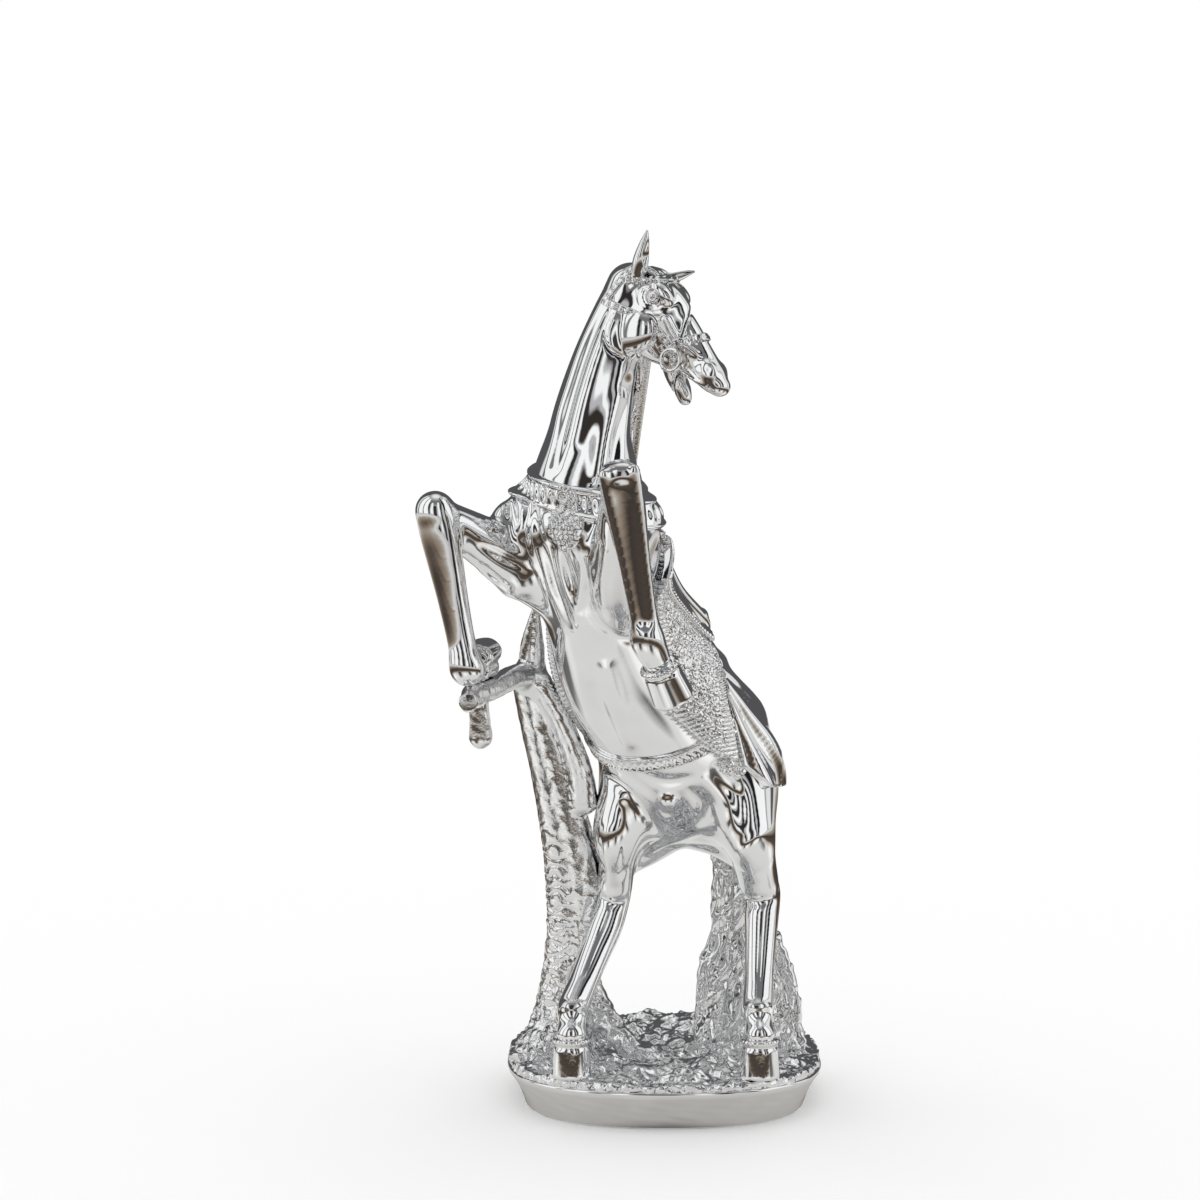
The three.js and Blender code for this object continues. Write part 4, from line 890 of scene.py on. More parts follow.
girth_spans = ((GIRTH_AT - 5, GIRTH_AT + 5), (-38, 40), (-40, 38))
girth_box = frame_box(PELVIS, (spine, belly, left), girth_spans, 3)
body_strap("girth_strap_webbing", "girth_strap", torso(), girth_box, girth_pattern)
collar_spans = ((-34, 34), (-30, 30), (-16, 16))
collar_box = frame_box(collar_centre, (forward, left, UP), collar_spans, 2)
body_strap("breast_collar_strap", "breast_collar", torso() + neck(), collar_box, collar_pattern)


# Tree: trunk with ring bark, roots, a fork with a broken leader, and the branch under the raised hoof
TRUNK_RADIUS = 11.5
TRUNK_RISE = 192 * 0.9
TRUNK_FOOT = vec(-0.336 * PLINTH_WIDTH, -0.096 * PLINTH_DEPTH, GROUND_TOP - 2)


def trunk_point(share):
    sway = 8 * math.sin(math.pi * min(share * 1.25, 1))
    return TRUNK_FOOT + vec(sway - 13 * share**3, -24 * share**2, share * TRUNK_RISE)


fork = trunk_point(0.97)
branch_tip = right_fetlock + vec(2, 3, -11.4)
ROOTS = [(-2.75, 19, 24), (-2.05, 23, 28), (-1.2, 30, 24), (-0.35, 48, 44), (0.55, 30, 22), (1.9, 26, 22)]


def root(heading, reach, rise):
    ray = vec(math.cos(heading), math.sin(heading), 0)
    turn = vec(-ray[1], ray[0], 0)

    def at(share, height, bend):
        return TRUNK_FOOT + ray * share * reach + turn * bend + UP * height

    rows = [
        (at(0.1, rise, 0), 4.5, 5),
        (at(0.38, rise * 0.5, 1.5), 5.4, 6),
        (at(0.68, rise * 0.18, -1.5), 5, 5),
        (at(1, 1.5, 1), 3.2, 3),
    ]
    return loft(rows, turn)


def tree():
    flares = [(0, 7, 6), (0.12, 2.4, 1.4), (0.3, 1, 0), (0.5, 0.4, -0.6)]
    flares += [(0.7, -2.2, -2.2), (0.86, -3.6, -3.6), (0.97, -3.8, -3.8)]
    trunk = [(trunk_point(s), TRUNK_RADIUS + wide, TRUNK_RADIUS + deep) for s, wide, deep in flares]
    limb = [
        (fork, 6, 6),
        (lerp(fork, branch_tip, 0.3) + UP * 2, 5.2, 5.2),
        (lerp(fork, branch_tip, 0.7), 4.6, 4.6),
        (branch_tip, 4.4, 4.4),
    ]
    twig_end = branch_tip + vec(-1, -9, -2)
    stub_top = lerp(fork, branch_tip, 0.9)
    stub_end = stub_top + vec(1, 2, -18)
    leader_top = fork + vec(3, -12, 30)
    leader = [(fork + vec(1, 0, 2), 6, 6), (lerp(fork, leader_top, 0.5), 4.8, 4.2), (leader_top, 1.5, 1.1)]
    foot = trunk_point(0.66) + vec(TRUNK_RADIUS - 1, -3, 0)
    top = fork + vec(5, -6, -2)
    flank = [
        (foot, 6.5, 7.5),
        (lerp(foot, top, 0.3) + vec(3.5, -2, 0), 5, 6),
        (lerp(foot, top, 0.7) + vec(3, -1, 0), 4.4, 5.4),
        (top, 5, 5.4),
    ]
    work = [(loft(trunk, ACROSS), 1, "add")]
    work += [(root(*values), 4, "add") for values in ROOTS]
    work += [
        (loft(limb, UP), 3, "add"),
        (stroke([branch_tip, twig_end], [3.8, 4]), 1.5, "add"),
        (stroke([stub_top, lerp(stub_top, stub_end, 0.5), stub_end], [4, 4.2, 4.8]), 1.5, "add"),
        (loft(leader, ACROSS), 2, "add"),
        (loft(flank, ACROSS), 3, "add"),
    ]
    return work


def bark(grid):
    """Rings, slits and gnarls of bark over the tree's field."""
    near = np.abs(grid.field) < 4
    x, y, z = grid.places(near)
    share = (z - TRUNK_FOOT[2]) / TRUNK_RISE
    warp = 1.6 * noise(x, y, z, 22, 11) + 1.2 * noise(x, y, z, 9, 14)
    slits = np.clip(np.cos(2 * math.pi * (z + warp) / 4.6) - 0.45, 0, 1) / 0.55
    broken = np.clip(0.5 + 0.9 * noise(x, y, z * 0.35, 16, 15), 0, 1)
    strength = 0.06 + 0.94 * np.clip(1.2 - abs(share - 0.3) / 0.3, 0, 1)
    rough = 0.22 + 1.1 * np.clip(1 - share / 0.45, 0, 1)
    crests = ridged(x, y, z * 0.6, 9, 12)
    grid.field[near] += 0.9 * strength * slits * broken
    grid.field[near] -= rough * 0.8 * (crests - 0.6) + rough * 0.3 * noise(x, y, z, 3.4, 13)


tree_grid = Grid((-104, -112, 17.6), (10, 22, 236), voxel(0.6, 1.2))
sculpt(tree_grid, tree())
bark(tree_grid)
TREE_NODES = ["tree_trunk", "tree_branch", "branch_stub", "broken_leader", "flank_limb"]
TREE_NODES += [f"tree_root_{k + 1}" for k in range(6)]
surface("tree_bark", tree_grid, TREE_NODES, TEXTURED, 1)


# Ground: craggy rock over a plinth that tapers to its foot
HALF_WIDTH, HALF_DEPTH = PLINTH_WIDTH / 2, PLINTH_DEPTH / 2
ROCK_UNDERSIDE, ROCK_FLOOR, ROCK_EDGE = 16.6, 17.3, 2.6
WALL_FOOT, WALL_RISE, PLINTH_TOP = 0.5, 14.6, 17.0


def rim_reach(turn, inset=0.0):
    """How far the plinth's rim lies from the centre along each heading."""
    c, s = np.abs(np.cos(turn)), np.abs(np.sin(turn))
    power = PLINTH_SQUARENESS
    spread = (c**power + s**power) ** (-1 / power)
    return np.hypot((HALF_WIDTH - inset) * spread * c, (HALF_DEPTH - inset) * spread * s)


def rock_height(x, y):
    hump = np.sin(x * 0.17 + y * 0.06) * np.cos(y * 0.15 - x * 0.05)
    swell = hump + 0.5 * np.sin(x * 0.41 - y * 0.33)
    across = np.abs(np.sin(x * 0.118 + 1.2 * np.sin(y * 0.06)))
    along = np.abs(np.cos(y * 0.104 + 0.9 * np.sin(x * 0.07)))
    return 4.2 + 1.6 * swell + 3.4 * (across * along - 0.4)


def rock(grid):
    x, y, z = grid.whole()
    flat = np.zeros_like(x + y)
    away = np.hypot(x, y) - rim_reach(np.arctan2(y + flat, x + flat), 0.8).astype(np.float32)
    height = rock_height(x, y) + 2.2 * (ridged(x + flat, y + flat, flat, 15, 21) - 0.55)
    height = height + 1.1 * (ridged(x + flat, y + flat, flat, 7, 22) - 0.5)
    rise = np.clip(-away / 9, 0, 1)
    height = ROCK_FLOOR + np.maximum(ROCK_EDGE * (1 - rise) + height * rise, 1.2)
    grid.field[...] = np.maximum(round_max((z - height) * 0.8, away + 0 * z, 1.5), ROCK_UNDERSIDE - z)
    near = np.abs(grid.field) < 3
    x, y, z = grid.places(near)
    grid.field[near] -= 0.35 * noise(x, y, z, 5, 23) + 0.3 * (ridged(x, y, z, 3.4, 24) - 0.5)


ground_grid = Grid((-70, -75, 15.5), (70, 75, 32), voxel(0.5, 1.2))
rock(ground_grid)
surface("ground_rock", ground_grid, ["rocky_ground"], TEXTURED, 1)


def plinth_wall():
    """The plinth as rings of its uneven rim, with a rolled lip, tool marks and a flat underside."""
    rows = [(0.0, PLINTH_TAPER + 6), (0.0, PLINTH_TAPER + 0.7), (WALL_FOOT, PLINTH_TAPER)]
    rows += [
        (WALL_FOOT + WALL_RISE * t, PLINTH_TAPER * (1 - t) + 0.4 * math.sin(math.pi * t))
        for t in np.linspace(0.04, 0.96, 24)
    ]
    rows += [(15.3, 0.25), (15.9, 0.0), (16.5, 0.1), (PLINTH_TOP, 0.6), (PLINTH_TOP, 6)]
    sides = 360 if FINE else 90
    turn = np.arange(sides) * 2 * math.pi / sides
    dent = 0.22 * np.sin(3 * turn + 1) + 0.16 * np.sin(7 * turn + 0.6) + 0.1 * np.sin(17 * turn)
    points = []
    for height, inset in rows:
        mark = 0.12 * noise(turn * 60, height * 2.5, 0, 9, 31)
        mark = mark + 0.5 * np.clip(noise(turn * 60, height, 0, 13, 32) - 1.1, 0, 1)
        fade = math.sin(math.pi * min(height / 16, 1))
        reach = rim_reach(turn, inset) - (0.45 - dent + mark) * fade
        points.append(np.column_stack([reach * np.cos(turn), reach * np.sin(turn), np.full(sides, height)]))
    count = len(rows)
    ring = np.arange(sides)
    after = (ring + 1) % sides
    starts = sides * np.arange(count - 1)[:, None]
    lower, upper = ring[None, :] + starts, after[None, :] + starts
    first = np.stack([lower, upper, upper + sides], axis=-1).reshape(-1, 3)
    second = np.stack([lower, upper + sides, lower + sides], axis=-1).reshape(-1, 3)
    base, top, last = count * sides, count * sides + 1, (count - 1) * sides
    under = np.column_stack([np.full(sides, base), after, ring])
    over = np.column_stack([np.full(sides, top), last + ring, last + after])
    centres = [vec(0, 0, 0), vec(0, 0, PLINTH_TOP)]
    return np.vstack([*points, centres]), np.vstack([first, second, under, over])


piece("plinth_cast", *plinth_wall(), ["plinth"], POLISHED)


# Hair: locks of several strands each
def strands(points, side, width, radius, count, seed, draw=0.75):
    """A lock as strands that run side by side and draw together at its tip."""
    source = np.random.default_rng(seed)
    work = []
    last = len(points) - 1
    for k in range(count):
        shift = (k - (count - 1) / 2) / max(count - 1, 1)
        wander = source.uniform(-0.5, 0.5, size=(len(points), 3))
        route, radii = [], []
        for i, point in enumerate(points):
            share = i / last
            spread = width * 2 * (1 - draw * share**1.6)
            route.append(point + unit(side) * shift * spread + wander[i] * radius * 0.7)
            radii.append(radius * (1.0 - draw * 0.93 * share**2) * (1 - 0.25 * abs(shift)))
        work.append((stroke(route, radii), 0.5, "add"))
    return work


def mane():
    work = []
    fall = forward * 0.7 - UP
    flatways = unit(np.cross(neck_side, fall))
    for k in range(5):
        share = 0.12 + 0.82 * k / 4
        start = on_neck(share, -(21 - 10 * share))
        sweep, wave = 12 - 6 * share, (k % 2) * 2
        route = [
            start,
            start + neck_side * 6 + forward * (3 + wave) - UP * 3,
            start + neck_side * sweep + forward * (8 + wave) - UP * 10,
            start + neck_side * (sweep + 1) + forward * (13 - wave) - UP * 19,
        ]
        work += strands(route, flatways, 5.2, 1.9, 5, 40 + k)
    crest = [on_neck(s, -21.5 + 10 * s) for s in (0.04, 0.3, 0.6, 0.9)]
    work.append((loft([(p, 3, 4) for p in crest], neck_side), 1.5, "add"))
    slant = unit(neck_side * 0.62 + forward * 0.78)
    for k in range(9):
        shift = (k / 8 - 0.5) * 2
        route = [
            on_neck(s, -15 + 6 * s, 9.5 - 4 * s) + slant * shift * (8 - 2.5 * s)
            for s in (0.08, 0.36, 0.64, 0.9)
        ]
        sway = [unit(np.cross(slant, UP)) * 0.9 * math.sin(2.4 * i + 1.7 * k) for i in range(4)]
        work.append((stroke([p + w for p, w in zip(route, sway)], [1.5, 2.6, 2.4, 1.6]), 0.5, "add"))
    return work


def forelock():
    start = on_head(1.2, 10.5, 0)
    work = []
    for k in (-1, 0, 1):
        route = [
            start + head_left * k * 2.4,
            start + head_left * (k * 3.4 + 1) + brow * 2 + face * 4,
            start + head_left * (k * 3.8 + 3) + brow * 2.4 + face * 9,
        ]
        work += strands(route, head_left, 1.6, 1.1, 3, 60 + k)
    return work


def tail():
    dock = on_body(-0.13, 6, -22)
    foot = vec(LEFT_STANCE[0] - 1, LEFT_STANCE[1] + 54, GROUND_TOP - 1)
    work = []
    for k in range(4):
        spread = (k - 1.5) * 5.6
        wave = 3 if k % 2 == 0 else -3
        route = [
            dock,
            lerp(dock, foot, 0.22) + vec(spread * 0.4, 9, 4),
            lerp(dock, foot, 0.48) + vec(spread * 0.8 + wave, 8, 0),
            lerp(dock, foot, 0.74) + vec(spread * 1.2 - wave, 3 + k, 0),
            foot + vec(spread * 2, k - 2, 0),
        ]
        work += strands(route, ACROSS, 6.5, 3.6, 4, 80 + k, 0.2)
    return work


def clumps(x, y, z):
    """Uneven bundles of hair in the tail."""
    return 0.9 * (1.4 * (ridged(x, y, z * 0.7, 10, 71) - 0.55) + 0.5 * noise(x, y, z, 4.5, 72))


sculpted("mane_locks", mane(), "mane", 0.5, TEXTURED)
sculpted("forelock_hair", forelock(), "forelock", 0.35, TEXTURED)
sculpted("tail_locks", tail(), "tail", 0.6, TEXTURED, 1, clumps, 4)


# Hooves: fluted bells under a rough coronet, cut across the heel, with a hollow sole
HEEL_SHARE = 0.74
SOLE_RADIUS, SOLE_DROP = 7.4, 4.5


def hoof(name, coronet, direction, back, node, seed):
    box = box_of([coronet - direction * 2, coronet + direction * (HOOF_HEIGHT + 1)], 12)
    grid = Grid(*box, voxel(0.35, 0.8))
    across = np.cross(direction, back)
    down, behind, aside = in_frame(*grid.whole(), coronet, (direction, back, across))
    radius = np.sqrt(behind**2 + aside**2)
    turn = np.arctan2(aside, -behind)
    share = np.clip(down / HOOF_HEIGHT, 0, 1)
    wall = HOOF_TOP_RADIUS + (HOOF_BOTTOM_RADIUS - HOOF_TOP_RADIUS) * share - 0.4
    flute = np.sin(6 * turn + 0.5 * np.sin(2 * turn + seed)) * np.clip((down - 3.4) / 2, 0, 1)
    tufts = 1 + 0.35 * np.sin(23 * turn + seed) + 0.25 * np.sin(41 * turn)
    wall = wall + 0.13 * flute + 0.9 * hill(down - 1.3, 1.3) * tufts - 0.7 * hill(down - 3.3, 0.6)
    field = round_max(radius - wall, np.abs(down - HOOF_HEIGHT / 2) - HOOF_HEIGHT / 2, 1.0)
    heel = behind - HEEL_SHARE * HOOF_BOTTOM_RADIUS + hill(aside, 1.4)
    field = round_max(field, heel, 1.2)
    sole = np.sqrt((behind + 0.8) ** 2 + aside**2 + (down - HOOF_HEIGHT - SOLE_DROP) ** 2) - SOLE_RADIUS
    grid.field[...] = round_max(field, -sole, 0.6)
    surface(name, grid, [node], POLISHED, 4, 2)


def fore_hoof(name, fetlock, pastern, node, seed):
    direction = unit(pastern - fetlock)
    flat = unit(direction * forward.dot(direction) - forward)
    hoof(name, pastern + direction * 2.5, direction, flat, node, seed)


def hind_hoof(name, posture, node, seed):
    hoof(name, hind_points(*posture)[3], -UP, BACK, node, seed)


fore_hoof("hoof_fore_right_horn", right_fetlock, right_pastern, "hoof_fore_right", 1)
fore_hoof("hoof_fore_left_horn", left_fetlock, left_pastern, "hoof_fore_left", 2)
hind_hoof("hoof_hind_right_horn", (RIGHT_STIFLE, RIGHT_STANCE, RIGHT_CANNON), "hoof_hind_right", 3)
hind_hoof("hoof_hind_left_horn", (LEFT_STIFLE, LEFT_STANCE, LEFT_CANNON), "hoof_hind_left", 4)


# Saddle seat, and the ornaments of collar and drape
def back_depth(share):
    stations = np.array(BARREL)
    return np.interp(share, stations[:, 0], stations[:, 4] - stations[:, 2])


def seat_point(share, lift, aside=0.0):
    return on_body(share, -5 + aside, -back_depth(share) - lift)


def saddle_seat():
    rows = [
        (0.84, 1, 5, 4), (0.8, 5, 7, 6), (0.73, 3.6, 11, 6),
        (0.56, 2.4, 14, 6.5), (0.42, 6, 16, 7), (0.365, 8, 13, 5),
    ]
    cantle = [seat_point(0.4 + 0.03 * abs(s), 11.5 - 3.5 * s * s, 13 * s) for s in (-1, -0.5, 0, 0.5, 1)]
    pommel = [seat_point(0.8, 9 - 2 * s * s, 6 * s) for s in (-1, 0, 1)]
    work = [(loft([(seat_point(s, lift), wide, deep) for s, lift, wide, deep in rows], left), 2, "add")]
    work += [(stroke(cantle, 2.2), 2, "add"), (stroke(pommel, 2.2), 1.5, "add")]
    for sign in (1, -1):
        seam = [
            seat_point(u, 8 - 2.2 * math.sin(math.pi * (u - 0.4) / 0.4), sign * (4 + 14 * (0.8 - u)))
            for u in (0.78, 0.66, 0.54, 0.44)
        ]
        work.append((stroke(seam, 0.7), 0.5, "cut"))
    return work


sculpted("saddle_seat_leather", saddle_seat(), "saddle_seat", 0.5, POLISHED, 2)

collar_front = step(collar_centre, 27, 6, -4)
lowest = on_body(0.95, 3, 35)
tassel_top = collar_front - UP * 5 - forward * 2
tassel = [
    (tassel_top, 5.6, 3.6),
    (lerp(tassel_top, lowest, 0.4) + forward, 8, 4.2),
    (lerp(tassel_top, lowest, 0.75), 6.2, 3.6),
    (lowest, 3, 2.2),
]


def blossom(x, y, z):
    """Petals and beads of the ornament."""
    u = (x - tassel_top[0]) * left[0] + (y - tassel_top[1]) * left[1]
    v = z - tassel_top[2]
    petals = np.sin(2 * math.pi * u / 4.2 + 0.8 * np.sin(v / 2.1)) * np.sin(2 * math.pi * v / 4.4)
    return 0.65 * petals + 0.4 * (ridged(x, y, z, 2.6, 51) - 0.5)


flowers = [(loft(tassel, left), 1, "add")]
sculpted("collar_tassel_flowers", flowers, "collar_tassel", 0.3, TEXTURED, 0, blossom)


ROSETTE_RADIUS = 4.9


def rosette():
    """A rimmed disc with a ring and a boss."""
    grid = Grid(collar_front - 7, collar_front + 7, voxel(0.25, 0.6))
    out, aside, rise = in_frame(*grid.whole(), collar_front, (forward, left, UP))
    radius = np.sqrt(aside**2 + rise**2)
    turn = np.arctan2(rise, aside)
    top = 0.7 + 0.7 * hill(radius - 4.2, 0.6) * (1 + 0.35 * np.cos(14 * turn))
    top = top + 1.5 * hill(radius - 2.4, 0.55) + 1.5 * hill(radius, 1.1) - 0.2
    grid.field[...] = round_max(round_max(radius - ROSETTE_RADIUS, out - top, 0.5), -2 - out, 0.4)
    surface("collar_rosette_ring", grid, ["collar_rosette"], POLISHED, 1)


rosette()

hem_route = [on_body(0.165 - 0.14 * k / 4, 32 - k / 4, 15 - 17 * k / 4) for k in range(5)]
hem_work = [(stroke(hem_route, 2.4), 1, "add")]
for centre in hem_route:
    hem_work.append((ball(centre, (3.6, 3.4, 3.8), body_axes), 0.6, "add"))
    hem_work.append((ball(centre + left * 3.4, (1.3, 1.3, 1.3), body_axes), 0.3, "add"))


def scallops(x, y, z):
    """Small lobes of the hem's ornament."""
    return 0.45 * (ridged(x, y, z, 2.4, 54) - 0.5) + 0.25 * noise(x, y, z, 1.5, 55)


sculpted("drape_hem_ornament", hem_work, "drape_hem", 0.3, TEXTURED, 0, scallops)


# Bridle: straps over the head's field, with studs, lace and rings
BIT_ALONG, BIT_RISE, BIT_OUT = 37.95, -4.5, 9.2
BIT_RADIUS, BIT_THICKNESS = 4.2, 0.95
EAR_HEIGHT, EYE_RADIUS = 17.8, 2.5

# Routes of the straps seen from the side: along the face from the poll, and towards the brow
HEADSTALL = [vec(-2.3, 12, 0), vec(1.15, -8, 0), vec(19, 0, 0), vec(32.8, -1, 0)]
HEADSTALL.append(vec(BIT_ALONG, BIT_RISE, 0))
NOSEBAND = [vec(43.1, 18, 0), vec(31.6, -5, 0)]
BROWBAND = [vec(14.4, 20, 0), vec(1.15, 4, 0)]


def bridle_strap(name, node, route, half, thick, rim, stud, spacing, scallop, spans):
    """A strap along a route, of a half width and thickness, with rims, studs and a wavy edge."""
    def pattern(x, y, z):
        a, b, _ = in_frame(x, y, z, poll, (face, brow, head_left))
        away, run = near_route(route, a, b, np.zeros_like(a))
        wave = np.cos(2 * math.pi * run / spacing)
        beads = stud * np.clip(wave, 0, 1) * hill(away, half * 0.55)
        return thick + beads + rim * hill(away - half + 0.45, 0.35), away - half - scallop * wave

    box = frame_box(poll, (face, brow, head_left), (*spans, (-15, 15)), 1)
    grid = finer(head_grid, *box, voxel(0.3, 0.8))
    shell(grid, pattern, 0.4, 3.0)
    surface(name, grid, [node], POLISHED, 1)


for part, node, *values in (
    ("headstall_studs", "bridle_headstall", HEADSTALL, 1.6, 0.9, 0.35, 0.8, 2.9, 0, ((-6, 42), (-14, 16))),
    ("noseband_lace", "bridle_noseband", NOSEBAND, 1.7, 0.8, 0.3, 0.7, 2.3, 0.35, ((28, 47), (-14, 20))),
    ("browband_beads", "bridle_browband", BROWBAND, 1.8, 1.0, 0.2, 0.9, 2.5, 0.3, ((-2, 18), (-2, 22))),
):
    bridle_strap("bridle_" + part, node, *values)


def head_disc(centre, reach, sign, fine, coarse):
    """A grid round a place on the head, with its coordinates along the face, the brow and outwards."""
    grid = Grid(centre - reach, centre + reach, voxel(fine, coarse))
    return grid, in_frame(*grid.whole(), centre, (face, brow, head_left * sign))


def bit_ring(name, sign, node):
    grid, (a, b, c) = head_disc(on_head(BIT_ALONG, BIT_RISE, sign * BIT_OUT), 7, 1, 0.25, 0.6)
    radius = np.sqrt(a**2 + b**2)
    turn = np.arctan2(b, a)
    thick = BIT_THICKNESS + 0.25 * hill(np.abs(turn) - math.pi / 2, 0.25)
    grid.field[...] = np.sqrt((radius - BIT_RADIUS) ** 2 + c**2) - thick
    surface(name, grid, [node], POLISHED, 1)


bit_ring("bit_ring_right_loop", -1, "bit_ring_right")
bit_ring("bit_ring_left_loop", 1, "bit_ring_left")


# Ears: thin cups with a deep fold
def ear(name, foot, lean, way, node):
    lean = unit(lean)

    def at(share):
        return foot + lean * share * EAR_HEIGHT

    cup = [(at(0), 3.2, 3), (at(0.35), 3.8, 3), (at(0.7), 2.5, 2), (at(1), 0.6, 0.5)]
    inside = at(0.42) + way * 2.1
    rows = [(-5.4, 1.2, 1.3), (0, 2.5, 2.3), (4.5, 1.6, 1.5), (8.4, 0.4, 0.5)]
    fold = [(inside + lean * rise, wide, deep) for rise, wide, deep in rows]
    work = [(loft(cup, head_left), 0.5, "add"), (loft(fold, head_left), 0.6, "cut")]
    work.append((stroke([foot + way * 1.5, at(0.28) + way * 1.2], [1.3, 0.6]), 0.8, "add"))
    sculpted(name, work, node, 0.25, POLISHED)


right_lean = UP + head_forward * 0.3 - head_left * 0.1
left_lean = head_forward * 0.8 + head_left * 0.55 + UP * 0.24
ear("ear_right_cup", on_head(2.3, 8, -6.6), right_lean, head_forward, "ear_right")
ear("ear_left_cup", on_head(2.9, 5, 7.5), left_lean, UP, "ear_left")


# Eyes: a ball with a ringed pupil, in lids that the head's field carries
def eye(name, sign, node):
    grid, (a, b, c) = head_disc(on_head(EYE_ALONG, EYE_RISE, sign * EYE_BALL_OUT), 4.5, sign, 0.15, 0.4)
    away = np.sqrt(a**2 + b**2)
    ring = 0.35 * hill(away - 1.25, 0.28) - 0.3 * hill(away, 0.55)
    grid.field[...] = np.sqrt(a**2 + b**2 + (c * 1.25) ** 2) - EYE_RADIUS + ring * (c > 0)
    surface(name, grid, [node], POLISHED, 1)


eye("eye_right_ball", -1, "eye_right")
eye("eye_left_ball", 1, "eye_left")


# Muscle and folds: strokes laid on the flesh where the lines of sight from the front meet it
SIGHT_RISE, SIGHT_DISTANCE = math.radians(4), 1300
SIGHT_TARGET = vec(-28, 0, 217.3)
SIGHT = vec(0, math.cos(SIGHT_RISE), -math.sin(SIGHT_RISE))
SIGHT_UP = vec(0, math.sin(SIGHT_RISE), math.cos(SIGHT_RISE))
SIGHT_FROM = SIGHT_TARGET - SIGHT * SIGHT_DISTANCE
VIEW_SIZE, VIEW_FOCUS = 1200, 2990
NEAREST, FURTHEST = SIGHT_DISTANCE - 180, SIGHT_DISTANCE + 80


def touch(grid, px, py):
    """Where the line of sight through a place in the view, in its units, first meets the surface."""
    across, down = (px - VIEW_SIZE / 2) / VIEW_FOCUS, (py - VIEW_SIZE / 2) / VIEW_FOCUS
    ray = unit(SIGHT + ACROSS * across - SIGHT_UP * down)
    reach = np.arange(NEAREST, FURTHEST, 0.5)[:, None]
    values = sample(grid, SIGHT_FROM + ray * reach)
    inside = np.nonzero(values < 0)[0]
    k = int(inside[0]) if len(inside) else int(np.argmin(values))
    return settle(grid, SIGHT_FROM + ray * reach[k])


def fold(grid, places, radius, rise, tip, blend, mode):
    """A cord along places in the view, its middle line raised over the surface, thinner at its tips."""
    points = [touch(grid, *place) for place in places]
    points = [p + outward(grid, p) * radius * rise for p in points]
    radii = [radius * tip] + [radius] * (len(points) - 2) + [radius * tip]
    lay(grid, stroke(points, radii), blend, mode)


def groove(grid, places, radius, depth=0.45, blend=1.6):
    fold(grid, places, radius, 1 - depth, 0.55, blend, "cut")


def ridge(grid, places, radius, height=0.35, blend=2.2):
    fold(grid, places, radius, height - 1, 0.7, blend, "add")


def lobe(grid, place, radii, height, blend=2.5, out=None):
    point = touch(grid, *place)
    out = outward(grid, point) if out is None else unit(out)
    side = unit(np.cross(UP, out))
    centre = point - out * (radii[2] - height)
    lay(grid, ball(centre, radii, (side, np.cross(out, side), out)), blend, "add")


# Places and routes in the view, across and down from its upper left corner
CHEST_LOBES = [((500, 514), (7.5, 10, 9), 2.8), ((522, 524), (5, 8, 6), 2.2), ((514, 592), (7.5, 8, 8), 1.6)]
CHEST_HOLLOWS = [
    [(509, 494), (513, 520), (508, 544)],
    [(535, 512), (538, 534), (546, 562), (554, 592)],
    [(549, 546), (557, 582), (573, 626)],
    [(564, 552), (570, 580), (577, 606)],
    [(600, 545), (594, 575), (581, 610)],
    [(585, 560), (588, 592), (596, 620), (614, 634), (628, 640)],
]
CHEST_CRESTS = [
    [(541, 545), (549, 584), (564, 628)],
    [(557, 548), (563, 580), (575, 616)],
    [(588, 546), (583, 578), (578, 608)],
    [(606, 552), (602, 580), (604, 606)],
]
FOREARM_HOLLOW = [(482, 546), (505, 558), (532, 570)]
FOREARM_CREASE = [(482, 566), (496, 580), (512, 588)]
FOREARM_CREST = [(480, 574), (492, 586), (504, 596)]
BELLY_KEEL = [(606, 668), (616, 705), (628, 742)]
BELLY_HOLLOW = [(592, 690), (603, 720), (616, 744)]
THIGH_HOLLOWS = [
    [(606, 776), (630, 792), (652, 818), (668, 840)],
    [(640, 772), (664, 782), (690, 778)],
    [(690, 790), (704, 806), (698, 824)],
    [(716, 768), (736, 792), (742, 822)],
    [(624, 806), (627, 838), (622, 872)],
]
THIGH_CRESTS = [
    [(608, 830), (609, 852), (611, 880)],
    [(622, 778), (645, 796), (664, 822)],
    [(704, 780), (720, 800), (724, 828)],
    [(757, 836), (746, 852), (752, 876)],
    [(650, 850), (680, 838), (704, 826)],
]
SHEATH = (669, 800)
SHEATH_RIM = [(658, 792), (661, 808), (669, 814), (678, 807), (681, 793)]
HOCK_CREASES = [[(601, 896), (614, 903), (627, 899)], [(742, 896), (756, 903), (772, 899)]]
NECK_HOLLOWS = [
    [(606, 304), (590, 340), (575, 384), (563, 426), (554, 466)],
    [(628, 384), (621, 412), (615, 446), (611, 476)],
]
NECK_CRESTS = [[(613, 322), (599, 354), (585, 398), (574, 440)], [(620, 398), (606, 436), (598, 474)]]
CHEEK_CREASE = [(613, 312), (605, 329), (608, 347), (622, 358)]
JAW_CREASES = [[(655, 345), (662, 355), (670, 362)], [(672, 367), (690, 379), (715, 391)]]
CHEEK_PLATE = (630, 330)
NOSTRIL_RIM = [(699, 364), (705, 359), (713, 363), (716, 372)]

